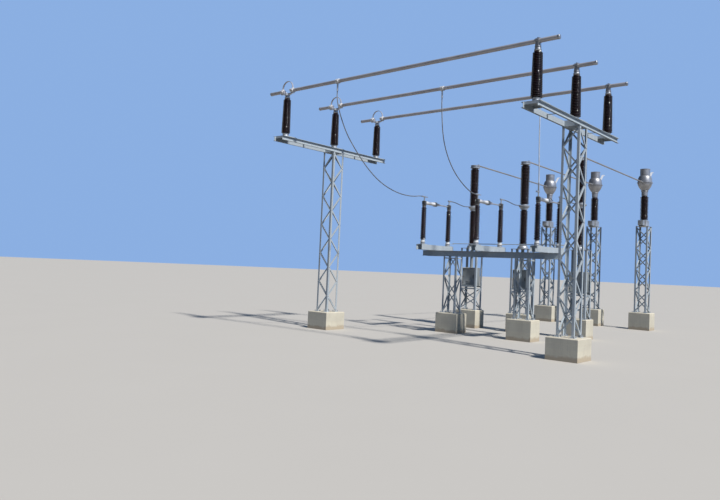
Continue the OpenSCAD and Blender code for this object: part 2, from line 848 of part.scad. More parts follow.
// Two channels across the table under each pole, webs outwards, with a plate under each bearing
module pole_bases() {
    length = post_spacing + 2 * pole_base_overhang;
    color(steel) each_pole(near_post_y + post_spacing / 2) {
        for (s = [0, 1]) rotate(180 * s)
            translate([-pole_base_w / 2, -length / 2, table_top])
                channel_y(length, pole_base_h - plate_t, pole_base_flange, web_t);
        for (s = [-1, 1])
            translate([-pole_base_w / 2, s * post_spacing / 2 - pole_base_w / 2, pole_base_top - plate_t])
                cube([pole_base_w, pole_base_w, plate_t]);
    }
}

// Fixed bearings, each with a bore for the turning spindle
module bearing_housings() {
    flange_r = bearing_d / 2;
    body_r = bearing_body_d / 2;
    color("whitesmoke") for (y = [near_post_y, far_post_y]) each_pole(y) translate([0, 0, pole_base_top])
        difference() {
            rotate_extrude($fn = 48) polygon([
                [0, 0], [flange_r, 0], [flange_r, bearing_flange_t - 6], [flange_r - 6, bearing_flange_t],
                [body_r + 6, bearing_flange_t], [body_r, bearing_flange_t + 8], [body_r, bearing_h - 28],
                [body_r + 12, bearing_h - 20], [body_r + 12, bearing_h], [0, bearing_h]]);
            translate([0, 0, bearing_floor_t]) cylinder(h = bearing_h, d = spindle_d + 2 * running);
        }
}

// Fixed terminals that swivel on the turning heads, one of them upright; the droppers' free ends
// stick out of the two level ones on the near side
module terminal_heads() {
    upright_top = far_dropper_route[len(far_dropper_route) - 1][2];
    color(aluminium) for (i = [0:2], far = [0, 1]) {
        upright = i == 2 && far == 0;
        translate([pole_places[i], far == 1 ? far_post_y : near_post_y, 0]) rotate(far * 180) {
            translate([0, 0, head_top - stud_depth])
                cylinder(h = stud_depth + collar_gap + 1, d = stud_d);
            translate([0, 0, head_top + collar_gap]) cylinder(h = collar_t, d = collar_d);
            translate([0, 0, head_top + collar_gap])
                cylinder(h = terminal_rise - collar_gap, d = hub_d);
            translate([0, (ferrule_tail - ferrule_reach) / 2, terminal_z])
                bar_y(ferrule_reach + ferrule_tail, ferrule_d);
            if (far == 0 && !upright)
                translate([0, rope_tail / 2, terminal_z]) bar_y(rope_tail, dropper_d);
            if (upright) {
                translate([0, 0, terminal_z - tee_boss_h / 2]) cylinder(h = tee_boss_h, d = tee_boss_d);
                translate([0, 0, terminal_z]) cylinder(h = upright_top - terminal_z, d = ferrule_d);
            }
        }
    }
}

// The turning base of a post: spindle, plate and lower fitting
module turning_base() {
    spindle_base = pole_base_top + bearing_floor_t + spindle_gap;
    plate_base = bearing_top + bearing_gap;
    fitting_r = rotor_fitting_d / 2;
    translate([0, 0, spindle_base]) cylinder(h = plate_base + 1 - spindle_base, d = spindle_d);
    translate([0, 0, plate_base]) rotate_extrude($fn = 48) polygon([
        [0, 0], [bearing_d / 2, 0], [bearing_d / 2, rotor_plate_t], [fitting_r + 12, rotor_plate_t + 6],
        [fitting_r, rotor_plate_t + 22], [fitting_r, rotor_plate_t + rotor_fitting_h],
        [0, rotor_plate_t + rotor_fitting_h]]);
}

// The cap and the cast head that carries an arm, with the bore of the swivel terminal
module turning_head() {
    cap_r = rotor_cap_d / 2;
    translate([0, 0, rotor_porcelain_top]) rotate_extrude($fn = 48) polygon([
        [0, 0], [cap_r, 0], [cap_r, rotor_cap_h - 16], [cap_r + 10, rotor_cap_h - 12],
        [cap_r + 10, rotor_cap_h], [0, rotor_cap_h]]);
    difference() {
        intersection() {
            translate([-head_w / 2, -head_w / 2, head_base]) cube([head_w, head_w, head_h]);
            translate([0, 0, head_base]) cylinder(h = head_h, d = head_w * 1.2);
        }
        translate([0, 0, head_top - stud_depth - 10]) cylinder(h = stud_depth + 11, d = stud_d + 2 * running);
    }
}

module rotor_porcelain() {
    color(porcelain_brown) translate([0, 0, rotor_porcelain_base])
        porcelain(rotor_porcelain_h, rotor_shed_d, rotor_shed_d - rotor_taper, rotor_sheds, rotor_core);
}

// The near arm points to +Y and ends in two rows of contact fingers
module near_arm() {
    slot = blade_t + 2 * blade_clearance;
    finger_base = finger_root - contact_block;
    color(aluminium) {
        turning_base();
        turning_head();
        translate([0, (arm_start + finger_base) / 2, arm_z]) bar_y(finger_base - arm_start, near_arm_d);
        translate([0, finger_base, arm_z]) bar_y(30, near_arm_d + 24);
        translate([-contact_w / 2, finger_base, arm_z - contact_block_h / 2])
            cube([contact_w, contact_block, contact_block_h]);
        for (i = [0:finger_count - 1], s = [0, 1]) mirror_about_arm(s)
            translate([-contact_w / 2 + i * (finger_w + finger_gap), finger_base + contact_block - 1, 0])
                rotate([90, 0, 90]) linear_extrude(finger_w) contact_finger(slot / 2);
    }
}

module mirror_about_arm(s) {
    translate([0, 0, arm_z]) mirror([0, 0, s]) children();
}

// Side view of one finger: a bar whose tip bends towards the blade and opens out
module contact_finger(gap) {
    length = finger_reach - finger_root;
    bend = 3;
    flare = 12;
    polygon([
        [0, gap], [length - 50, gap], [length - 36, gap - bend], [length - 24, gap - bend],
        [length, gap + flare], [length, gap + finger_t],
        [length - 40, gap + finger_t - bend], [0, gap + finger_t]]);
}

// The far arm points to -Y and ends in the contact blade
module far_arm() {
    blade_root = far_tube_reach - 60;
    color(aluminium) {
        turning_base();
        turning_head();
        translate([0, -(arm_start + far_tube_reach) / 2, arm_z]) bar_y(far_tube_reach - arm_start, far_arm_d);
        translate([0, 0, arm_z - blade_t / 2]) linear_extrude(blade_t) {
            translate([-blade_w / 2, -blade_reach + blade_w / 2])
                square([blade_w, blade_reach - blade_w / 2 - blade_root]);
            translate([0, -blade_reach + blade_w / 2]) circle(d = blade_w);
        }
    }
}

// Crank on each far post, with the pin that the coupling rod turns on
module crank() {
    color(steel) rotate(-crank_angle) {
        difference() {
            translate([0, 0, bearing_top + bearing_gap]) linear_extrude(crank_t) {
                translate([-crank_w / 2, 0]) square([crank_w, crank_r]);
                translate([0, crank_r]) circle(d = crank_w);
            }
            translate([0, 0, bearing_top]) cylinder(h = crank_t + 10, d = bearing_d - 2);
        }
        translate([0, crank_r, bearing_top + bearing_gap])
            cylinder(h = crank_t + rod_eye_gap + rod_eye_h + 5, d = crank_pin_d);
    }
}

module near_turning_part(i) {
    translate([pole_places[i], near_post_y, 0]) near_arm();
}

module far_turning_part(i) {
    translate([pole_places[i], far_post_y, 0]) {
        far_arm();
        crank();
    }
}

module near_post(i) {
    translate([pole_places[i], near_post_y, 0]) rotor_porcelain();
}

module far_post(i) {
    translate([pole_places[i], far_post_y, 0]) rotor_porcelain();
}

// One rod joins the three cranks, with an eye around each pin
module coupling_rod() {
    eye_z = bearing_top + bearing_gap + crank_t + rod_eye_gap;
    pin_x = crank_r * sin(crank_angle);
    pin_y = crank_r * cos(crank_angle);
    color(steel) translate([0, far_post_y + pin_y, eye_z]) difference() {
        union() {
            translate([-bay_length / 2 + pin_x, 0, rod_eye_h / 2]) bar_x(2 * pole_gap, rod_d);
            for (x = pole_places) translate([x + pin_x, 0, 0]) cylinder(h = rod_eye_h, d = rod_eye_d);
        }
        for (x = pole_places) translate([x + pin_x, 0, -1])
            cylinder(h = rod_eye_h + 2, d = crank_pin_d + 2 * running);
    }
}

module breaker_legs() {
    color(steel) each_pole(breaker_y) translate([0, 0, equipment_foundation_h + plate_t])
        frame_legs(breaker_frame_w, breaker_frame_d, breaker_frame_h - 2 * plate_t,
            breaker_leg, breaker_leg_t);
}

// Bracing below the cabinets, and the two rails that each cabinet stands on
module breaker_bracing() {
    h = cabinet_lift - plate_t - 2 * brace_end - rail_w;
    rail_length = breaker_frame_w - 2 * breaker_leg_t;
    rail_reach = breaker_frame_d / 2 - breaker_leg_t - cabinet_d / 2 + 40;
    color(steel) each_pole(breaker_y) {
        translate([0, 0, equipment_foundation_h + plate_t + brace_end])
            frame_bracing(breaker_frame_w, breaker_frame_d, h, breaker_bars, frame_bar_w,
                breaker_leg, breaker_leg_t, [h - frame_bar_w]);
        for (s = [0, 1]) rotate(180 * s)
            translate([-rail_length / 2, -breaker_frame_d / 2 + breaker_leg_t, cabinet_base - rail_w]) {
                cube([rail_length, rail_t, rail_w]);
                translate([0, 0, rail_w - rail_t]) cube([rail_length, rail_reach, rail_t]);
            }
    }
}

// Mechanism cabinets with a roof lip, a raised door and the tube of the drive rod
module breaker_cabinets() {
    edge = cabinet_door_edge;
    color(cabinet_grey) each_pole(breaker_y) {
        translate([-cabinet_w / 2, -cabinet_d / 2, cabinet_base]) cube([cabinet_w, cabinet_d, cabinet_h]);
        for (s = [0, 1]) rotate(180 * s)
            translate([-cabinet_w / 2 + edge, -cabinet_d / 2 - cabinet_door_t, cabinet_base + edge])
                cube([cabinet_w - 2 * edge, cabinet_door_t + 1, cabinet_h - 2 * edge]);
        translate([-cabinet_w / 2 - cabinet_roof_lip / 2, -cabinet_d / 2 - cabinet_roof_lip,
            cabinet_base + cabinet_h - cabinet_roof_t])
            cube([cabinet_w + cabinet_roof_lip, cabinet_d + 2 * cabinet_roof_lip, cabinet_roof_t]);
        translate([0, 0, cabinet_base + cabinet_h - 1])
            cylinder(h = breaker_frame_top - plate_t - cabinet_base - cabinet_h + 1, d = drive_tube_d);
    }
}

// Head plate of the leg frame with the domed gear housing under the supporting porcelain
module breaker_bases() {
    r = breaker_base_d / 2;
    top_r = breaker_low_d / 2 - 12;
    rise = breaker_base_h - 60;
    color(aluminium) each_pole(breaker_y) translate([0, 0, breaker_frame_top]) {
        head_plate(breaker_frame_w, breaker_frame_d);
        rotate_extrude($fn = 64) polygon(concat(
            [[0, 0], [r, 0], [r, 24]],
            [for (a = [0:15:90]) [top_r + (r - 16 - top_r) * cos(a), 24 + rise * sin(a)]],
            [[top_r, breaker_base_h - 26], [top_r + 14, breaker_base_h - 22], [top_r + 14, breaker_base_h],
            [0, breaker_base_h]]));
    }
}

module breaker_insulators() {
    color(porcelain_brown) each_pole(breaker_y) {
        translate([0, 0, breaker_low_base])
            porcelain(breaker_low_h, breaker_low_d, breaker_low_d, breaker_low_sheds);
        translate([0, 0, breaker_top_base])
            porcelain(breaker_top_h, breaker_top_d, breaker_top_d, breaker_top_sheds);
    }
}

// Silver fittings in the middle and on top, with the terminals of the lead and of the link tube
module breaker_flanges() {
    neck_r = breaker_low_d / 2 - 6;
    disc_r = mid_disc_d / 2;
    disc_z = mid_terminal_z - breaker_low_top - mid_disc_t / 2;
    top_r = top_flange_d / 2;
    lug_z = mid_terminal_z - terminal_arm_t / 2;
    pillar_h = link_clamp[1] - breaker_top + 2 * top_arm_drop;
    pillar_w = terminal_arm_w - 24;
    color(aluminium) each_pole(breaker_y) {
        translate([0, 0, breaker_low_top]) rotate_extrude($fn = 64) polygon([
            [0, 0], [neck_r, 0], [neck_r, 40], [disc_r - 30, disc_z - 12], [disc_r, disc_z],
            [disc_r, disc_z + mid_disc_t], [breaker_top_d / 2 - 14, disc_z + mid_disc_t + 6],
            [breaker_top_d / 2 - 20, mid_flange_h], [0, mid_flange_h]]);
        translate([-terminal_arm_w / 2, -mid_terminal_reach + 60, lug_z])
            cube([terminal_arm_w, mid_terminal_reach - 60 - disc_r / 2, terminal_arm_t]);
        translate([0, -mid_terminal_reach + 60, mid_terminal_z]) bar_y(120, ferrule_d);
        translate([0, 0, breaker_top_top]) rotate_extrude($fn = 64) polygon([
            [0, 0], [top_r, 0], [top_r, 36], [top_r - 26, 44], [top_r - 26, 82], [top_r - 6, 90],
            [top_r - 6, top_flange_h - 8], [top_r - 20, top_flange_h], [0, top_flange_h]]);
        translate([-terminal_arm_w / 2, -terminal_arm_w / 2, breaker_top - top_arm_drop - top_arm_t])
            cube([terminal_arm_w, link_clamp[0] - breaker_y + terminal_arm_w, top_arm_t]);
    }
    color(aluminium) for (x = pole_places) along_link(x, 0) difference() {
        union() {
            bar_y(terminal_arm_w, link_tube_d + 2 * link_wall);
            translate([-pillar_w / 2, -pillar_w / 2, -pillar_h]) cube([pillar_w, pillar_w, pillar_h]);
        }
        bar_y(terminal_arm_w + 2, link_tube_d + 2 * seat);
    }
}

module lead(i) {
    color("dimgray") swept_tube([for (p = lead_route) [pole_places[i], p[0], p[1]]], dropper_d, 8);
}

module ct_legs() {
    color(steel) each_pole(ct_y) translate([0, 0, ct_foundation_h + plate_t])
        frame_legs(ct_pedestal_w, ct_pedestal_w, ct_pedestal_h - 2 * plate_t, ct_leg, ct_leg_t);
}

module ct_bracing() {
    color(steel) each_pole(ct_y) translate([0, 0, ct_foundation_h + plate_t + brace_end])
        frame_bracing(ct_pedestal_w, ct_pedestal_w, ct_pedestal_h - 2 * (plate_t + brace_end), ct_bars,
            ct_bar_w, ct_leg, ct_leg_t);
}

// Base box under the porcelain with the secondary terminal box on the side of the busbars
module ct_bases() {
    corner = 40;
    half = ct_box_w / 2;
    collar_r = ct_shed_d / 2 + 6;
    color(aluminium) each_pole(ct_y) translate([0, 0, ct_box_base]) {
        head_plate(ct_pedestal_w, ct_pedestal_w);
        linear_extrude(ct_box_h - 30) polygon([
            [-half, -half + corner], [-half + corner, -half], [half - corner, -half], [half, -half + corner],
            [half, half - corner], [half - corner, half], [-half + corner, half], [-half, half - corner]]);
        translate([0, 0, ct_box_h - 31]) cylinder(h = 31, r = collar_r);
        translate([-secondary_box[0] / 2, -half - secondary_box[1], secondary_box_lift])
            cube([secondary_box[0], secondary_box[1] + 1, secondary_box[2]]);
    }
}

module ct_insulators() {
    color(porcelain_brown) each_pole(ct_y) translate([0, 0, ct_porcelain_base])
        porcelain(ct_porcelain_h, ct_shed_d, ct_shed_d, ct_sheds);
}

// Places children on the axis of a link tube, at a distance from the breaker's clamp
module along_link(x, distance) {
    translate([x, link_clamp[0], link_clamp[1]]) rotate([link_tilt, 0, 0])
        translate([0, distance, 0]) children();
}

// A socket open towards -Y, for the end of a link tube
module tube_socket() {
    floor_t = 25;
    difference() {
        translate([0, (socket_depth + floor_t) / 2, 0])
            bar_y(socket_depth + floor_t, link_tube_d + 2 * link_wall);
        translate([0, (socket_depth - 1) / 2, 0]) bar_y(socket_depth + 1, link_tube_d + 2 * seat);
    }
}

// Funnel, rim, rounded bowl and upper cylinder of a transformer's head
module ct_head_body() {
    r = ct_bowl_d / 2;
    top_r = ct_top_d / 2;
    neck_r = ct_neck_d / 2;
    rim_z = ct_neck_h + ct_cone_h;
    dome_h = ct_bowl_h - ct_cone_h - ct_rim_t;
    rotate_extrude($fn = 64) polygon(concat(
        [[0, 0], [neck_r, 0], [neck_r, ct_neck_h - 52], [ct_collar_d / 2, ct_neck_h - 44],
        [ct_collar_d / 2, ct_neck_h - 12], [neck_r, ct_neck_h - 4]],
        [for (a = [0:18:90]) [neck_r + (r - 24 - neck_r) * sin(a),
            ct_neck_h + (ct_cone_h - 10) * (1 - cos(a)) * 0.45 + (ct_cone_h - 10) * 0.55 * sin(a)]],
        [[r, rim_z], [r, rim_z + ct_rim_t]],
        [for (a = [0:15:90]) [top_r + (r - 24 - top_r) * cos(a), rim_z + ct_rim_t + dome_h * sin(a)]],
        [[top_r, ct_head_h - 34], [top_r + 8, ct_head_h - 30], [top_r + 8, ct_head_h - 16],
        [top_r - 24, ct_head_h], [0, ct_head_h]]));
}

// The flat bar that leans away behind the bowl and ends in a drilled pad
module horn() {
    half = horn_t / 2;
    root_z = ct_terminal_z - horn_w / 2;
    bend_z = ct_terminal_z + horn_w / 2;
    tip_y = horn_y + horn_reach;
    lean = atan2(horn_reach, horn_top_z - bend_z);
    low_mitre = half * tan(lean / 2);
    high_mitre = half * tan(45 - lean / 2);
    translate([-horn_w / 2, ct_top_d / 2, root_z]) cube([horn_w, horn_y - ct_top_d / 2, horn_w]);
    difference() {
        translate([-horn_w / 2, 0, 0]) rotate([90, 0, 90]) linear_extrude(horn_w) polygon([
            [horn_y - half, root_z], [horn_y - half, bend_z + low_mitre],
            [tip_y - high_mitre, horn_top_z + half], [tip_y + pad_length, horn_top_z + half],
            [tip_y + pad_length, horn_top_z - half], [tip_y + high_mitre, horn_top_z - half],
            [horn_y + half, bend_z - low_mitre], [horn_y + half, root_z]]);
        for (sx = [-1, 1], sy = [-1, 1])
            translate([sx * pad_hole_gap / 2, tip_y + (pad_length + sy * pad_hole_gap) / 2, horn_top_z - horn_t])
                cylinder(h = 2 * horn_t, d = pad_hole_d);
    }
}

// Heads of the transformers, with the socket of the link tube and the horn terminal
module ct_heads() {
    arm_d = 60;
    arm_length = 240;
    color(aluminium) {
        each_pole(ct_y) {
            translate([0, 0, ct_head_base]) ct_head_body();
            horn();
        }
        for (x = pole_places) {
            along_link(x, norm(link_run)) tube_socket();
            along_link(x, norm(link_run) + socket_depth + 10 + arm_length / 2) bar_y(arm_length, arm_d);
        }
    }
}

// Tubes from the breaker's top terminals to the transformers' sockets
module link_tubes() {
    length = link_tail + norm(link_run) + socket_depth - seat;
    color(aluminium) for (x = pole_places)
        along_link(x, -link_tail + length / 2) bar_y(length, link_tube_d);
}

right_foundation();
left_foundation();
equipment_foundations();
column_legs();
column_bracing();
column_plates();
crossbeam_channels();
crossbeam_cross_members();
post_insulators();
post_insulator_fittings();
busbar_clamps();
expansion_clamps();
expansion_loops();
busbars();
busbar_stubs();
busbar_end_plugs();
dropper_clamps();
near_dropper();
middle_dropper();
far_dropper();
equipment_foot_plates();
trestle_legs();
trestle_bracing();
table_channels();
pole_bases();
bearing_housings();
terminal_heads();
near_post(0);  // near_post_1
near_post(1);  // near_post_2
near_post(2);  // near_post_3
far_post(0);  // far_post_1
far_post(1);  // far_post_2
far_post(2);  // far_post_3
near_turning_part(0);  // near_arm_1
near_turning_part(1);  // near_arm_2
near_turning_part(2);  // near_arm_3
far_turning_part(0);  // far_arm_1
far_turning_part(1);  // far_arm_2
far_turning_part(2);  // far_arm_3
coupling_rod();
breaker_legs();
breaker_bracing();
breaker_cabinets();
breaker_bases();
breaker_insulators();
breaker_flanges();
lead(0);  // lead_1
lead(1);  // lead_2
lead(2);  // lead_3
ct_legs();
ct_bracing();
ct_bases();
ct_insulators();
ct_heads();
link_tubes();
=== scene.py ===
import json
import math

import bmesh
import bpy
from mathutils import Matrix, Vector
from mathutils.geometry import interpolate_bezier


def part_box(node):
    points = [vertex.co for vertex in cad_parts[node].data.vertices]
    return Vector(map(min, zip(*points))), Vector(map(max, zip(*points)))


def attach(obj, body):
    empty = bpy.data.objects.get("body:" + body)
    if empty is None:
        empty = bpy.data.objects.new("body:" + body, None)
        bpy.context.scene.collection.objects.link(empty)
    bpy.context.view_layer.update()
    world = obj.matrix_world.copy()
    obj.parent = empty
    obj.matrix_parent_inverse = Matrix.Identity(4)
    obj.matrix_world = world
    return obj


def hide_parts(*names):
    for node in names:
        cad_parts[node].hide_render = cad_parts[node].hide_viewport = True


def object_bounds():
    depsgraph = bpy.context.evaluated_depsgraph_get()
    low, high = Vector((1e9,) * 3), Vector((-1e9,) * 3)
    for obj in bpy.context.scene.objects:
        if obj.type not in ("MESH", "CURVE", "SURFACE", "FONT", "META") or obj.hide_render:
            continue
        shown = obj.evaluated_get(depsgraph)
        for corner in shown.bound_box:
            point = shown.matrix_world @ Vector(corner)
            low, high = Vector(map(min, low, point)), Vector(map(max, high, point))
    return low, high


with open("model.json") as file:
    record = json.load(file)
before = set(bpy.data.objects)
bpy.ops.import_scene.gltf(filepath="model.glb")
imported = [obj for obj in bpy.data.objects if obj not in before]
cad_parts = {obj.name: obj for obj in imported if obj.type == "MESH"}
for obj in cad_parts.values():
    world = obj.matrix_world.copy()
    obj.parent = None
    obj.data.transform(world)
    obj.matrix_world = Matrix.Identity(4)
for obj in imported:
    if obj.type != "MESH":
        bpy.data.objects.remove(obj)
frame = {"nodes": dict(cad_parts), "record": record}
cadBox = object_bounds()
print("frame loaded:", len(frame["nodes"]), "nodes")


# Places read from the frame, in metres

def centreOf(node):
    low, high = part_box(node)
    return (low + high) / 2


def sizeOf(node):
    low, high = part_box(node)
    return high - low


columnX = [centreOf("right_foundation").x, centreOf("left_foundation").x]
poleX = [centreOf("near_post_%d" % i).x for i in (1, 2, 3)]
nearY = centreOf("near_post_1").y
farY = centreOf("far_post_1").y
middleY = (nearY + farY) / 2
breakerY = centreOf("breaker_insulators").y
ctY = centreOf("ct_insulators").y
tubeZ = centreOf("busbars").z
tubeR = sizeOf("busbar_stubs").z / 2
phaseY = [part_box("busbars")[0].y + tubeR, centreOf("busbars").y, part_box("busbars")[1].y - tubeR]
fixed = "fixed_frame"


# The camera stands in front of the bay, past its right end, at eye height

camera = {"place": (7.287, -16.623, 2.249), "yaw": 39.331, "pitch": 2.583, "roll": 2.479, "lens": 32.748,
          "shiftX": -0.0391, "shiftY": -0.0174}


def makeCamera(s):
    data = bpy.data.cameras.new("camera")
    data.lens = s["lens"]
    data.shift_x = s["shiftX"]
    data.shift_y = s["shiftY"]
    data.sensor_width = 36
    data.clip_start = 0.1
    data.clip_end = 600
    piece = bpy.data.objects.new("camera", data)
    bpy.context.scene.collection.objects.link(piece)
    turn = Matrix.Rotation(math.radians(s["yaw"]), 4, "Z")
    turn = turn @ Matrix.Rotation(math.radians(90 + s["pitch"]), 4, "X")
    turn = turn @ Matrix.Rotation(math.radians(s["roll"]), 4, "Z")
    piece.matrix_world = Matrix.Translation(s["place"]) @ turn
    bpy.context.scene.camera = piece


makeCamera(camera)
print("camera made")


# Shader helpers

def newGroup(name, inputs, outputs):
    tree = bpy.data.node_groups.new(name, "ShaderNodeTree")
    for socketName, kind, value in inputs:
        socket = tree.interface.new_socket(name=socketName, in_out="INPUT", socket_type=kind)
        if value is not None:
            socket.default_value = value
    for socketName, kind in outputs:
        tree.interface.new_socket(name=socketName, in_out="OUTPUT", socket_type=kind)
    return tree, tree.nodes.new("NodeGroupInput"), tree.nodes.new("NodeGroupOutput")


def plug(tree, target, value):
    # a socket is linked, anything else is set as the socket's own value
    if isinstance(value, bpy.types.NodeSocket):
        tree.links.new(value, target)
    elif hasattr(value, "__len__") and len(value) == 3 and target.type == "RGBA":
        target.default_value = (*value, 1)
    else:
        target.default_value = value


def mixColour(tree, factor, first, second, blend="MIX"):
    node = tree.nodes.new("ShaderNodeMix")
    node.data_type = "RGBA"
    node.blend_type = blend
    plug(tree, node.inputs[0], factor)
    plug(tree, node.inputs[6], first)
    plug(tree, node.inputs[7], second)
    return node.outputs[2]


def maths(tree, operation, first, second=0.0, clamp=False):
    node = tree.nodes.new("ShaderNodeMath")
    node.operation = operation
    node.use_clamp = clamp
    plug(tree, node.inputs[0], first)
    plug(tree, node.inputs[1], second)
    return node.outputs[0]


def spread(tree, value, low, high, toLow=0.0, toHigh=1.0):
    node = tree.nodes.new("ShaderNodeMapRange")
    for i, part in enumerate((value, low, high, toLow, toHigh)):
        plug(tree, node.inputs[i], part)
    return node.outputs[0]


def noise(tree, vector, scale, detail=3.0, roughness=0.55):
    node = tree.nodes.new("ShaderNodeTexNoise")
    node.inputs["Scale"].default_value = scale
    node.inputs["Detail"].default_value = detail
    node.inputs["Roughness"].default_value = roughness
    tree.links.new(vector, node.inputs["Vector"])
    return node.outputs["Fac"]


def stretched(tree, vector, scale):
    node = tree.nodes.new("ShaderNodeMapping")
    node.inputs["Scale"].default_value = scale
    tree.links.new(vector, node.inputs["Vector"])
    return node.outputs["Vector"]


def bump(tree, height, strength, distance, normal=None):
    node = tree.nodes.new("ShaderNodeBump")
    node.inputs["Strength"].default_value = strength
    node.inputs["Distance"].default_value = distance
    tree.links.new(height, node.inputs["Height"])
    if normal is not None:
        tree.links.new(normal, node.inputs["Normal"])
    return node.outputs["Normal"]


# Effects that several finishes share

def makeDustGroup():
    # pale dust that settles on faces that look up, thicker in patches
    tree, given, result = newGroup(
        "settledDust",
        [("Vector", "NodeSocketVector", None), ("Amount", "NodeSocketFloat", 0.4), ("Scale", "NodeSocketFloat", 9.0)],
        [("Mask", "NodeSocketFloat")])
    facing = tree.nodes.new("ShaderNodeSeparateXYZ")
    tree.links.new(tree.nodes.new("ShaderNodeNewGeometry").outputs["Normal"], facing.inputs[0])
    upward = spread(tree, facing.outputs["Z"], 0.15, 0.95)
    patches = tree.nodes.new("ShaderNodeTexNoise")
    patches.inputs["Detail"].default_value = 4
    tree.links.new(given.outputs["Vector"], patches.inputs["Vector"])
    tree.links.new(given.outputs["Scale"], patches.inputs["Scale"])
    thick = spread(tree, patches.outputs["Fac"], 0.3, 0.7, 0.45, 1.0)
    amount = maths(tree, "MULTIPLY", maths(tree, "MULTIPLY", upward, thick), given.outputs["Amount"], clamp=True)
    tree.links.new(amount, result.inputs["Mask"])
    return tree


def makeStreakGroup():
    # rain marks that run down upright faces
    tree, given, result = newGroup(
        "rainStreaks",
        [("Vector", "NodeSocketVector", None), ("Amount", "NodeSocketFloat", 0.5)],
        [("Mask", "NodeSocketFloat")])
    narrow = noise(tree, stretched(tree, given.outputs["Vector"], (38, 38, 1.3)), 1.0, 4)
    wide = noise(tree, stretched(tree, given.outputs["Vector"], (7, 7, 0.8)), 1.0, 2)
    both = maths(tree, "MULTIPLY", spread(tree, narrow, 0.48, 0.75), spread(tree, wide, 0.35, 0.65))
    tree.links.new(maths(tree, "MULTIPLY", both, given.outputs["Amount"], clamp=True), result.inputs["Mask"])
    return tree


def makeSpangleGroup():
    # crystals of a hot-dip zinc coat: cells that differ a little in lightness
    tree, given, result = newGroup(
        "zincSpangle",
        [("Vector", "NodeSocketVector", None), ("Scale", "NodeSocketFloat", 70.0)],
        [("Cell", "NodeSocketFloat"), ("Cloud", "NodeSocketFloat")])
    cells = tree.nodes.new("ShaderNodeTexVoronoi")
    tree.links.new(given.outputs["Vector"], cells.inputs["Vector"])
    tree.links.new(given.outputs["Scale"], cells.inputs["Scale"])
    grey = tree.nodes.new("ShaderNodeRGBToBW")
    tree.links.new(cells.outputs["Color"], grey.inputs[0])
    tree.links.new(grey.outputs[0], result.inputs["Cell"])
    cloud = noise(tree, given.outputs["Vector"], 2.6, 5)
    tree.links.new(spread(tree, cloud, 0.3, 0.7), result.inputs["Cloud"])
    return tree


def makeGrainGroup():
    # fine rough skin of castings and paint, put out as a normal
    tree, given, result = newGroup(
        "fineGrain",
        [("Vector", "NodeSocketVector", None), ("Scale", "NodeSocketFloat", 420.0),
         ("Strength", "NodeSocketFloat", 0.25)],
        [("Normal", "NodeSocketVector"), ("Height", "NodeSocketFloat")])
    grit = tree.nodes.new("ShaderNodeTexNoise")
    grit.inputs["Detail"].default_value = 3
    tree.links.new(given.outputs["Vector"], grit.inputs["Vector"])
    tree.links.new(given.outputs["Scale"], grit.inputs["Scale"])
    relief = tree.nodes.new("ShaderNodeBump")
    relief.inputs["Distance"].default_value = 0.0008
    tree.links.new(given.outputs["Strength"], relief.inputs["Strength"])
    tree.links.new(grit.outputs["Fac"], relief.inputs["Height"])
    tree.links.new(relief.outputs["Normal"], result.inputs["Normal"])
    tree.links.new(grit.outputs["Fac"], result.inputs["Height"])
    return tree


dustGroup = makeDustGroup()
streakGroup = makeStreakGroup()
spangleGroup = makeSpangleGroup()
grainGroup = makeGrainGroup()


def useGroup(tree, group, **values):
    node = tree.nodes.new("ShaderNodeGroup")
    node.node_tree = group
    for name, value in values.items():
        plug(tree, node.inputs[name], value)
    return node.outputs


def newMaterial(name, metallic=0.0, specular=0.5, coat=0.0, coatRoughness=0.1):
    material = bpy.data.materials.new(name)
    material.use_nodes = True
    tree = material.node_tree
    shader = tree.nodes["Principled BSDF"]
    shader.inputs["Metallic"].default_value = metallic
    shader.inputs["Specular IOR Level"].default_value = specular
    shader.inputs["Coat Weight"].default_value = coat
    shader.inputs["Coat Roughness"].default_value = coatRoughness
    place = tree.nodes.new("ShaderNodeTexCoord").outputs["Object"]
    return material, tree, shader, place


# Finishes

def galvanised(name, s):
    material, tree, shader, place = newMaterial(name, metallic=s["metallic"], specular=s["specular"])
    zinc = useGroup(tree, spangleGroup, Vector=place, Scale=s["spangle"])
    streaks = useGroup(tree, streakGroup, Vector=place, Amount=s["streaks"])["Mask"]
    dust = useGroup(tree, dustGroup, Vector=place, Amount=s["dust"])["Mask"]
    colour = mixColour(tree, zinc["Cell"], s["dark"], s["light"])
    colour = mixColour(tree, maths(tree, "MULTIPLY", zinc["Cloud"], 0.35), colour, s["dull"])
    colour = mixColour(tree, streaks, colour, s["chalk"])
    colour = mixColour(tree, dust, colour, s["dustColour"])
    plug(tree, shader.inputs["Base Color"], colour)
    rough = spread(tree, zinc["Cell"], 0.0, 1.0, s["smooth"], s["rough"])
    rough = maths(tree, "ADD", rough, maths(tree, "MULTIPLY", dust, 0.3), clamp=True)
    plug(tree, shader.inputs["Roughness"], rough)
    uneven = noise(tree, place, 55, 3)
    plug(tree, shader.inputs["Normal"], bump(tree, uneven, 0.12, 0.002))
    return material


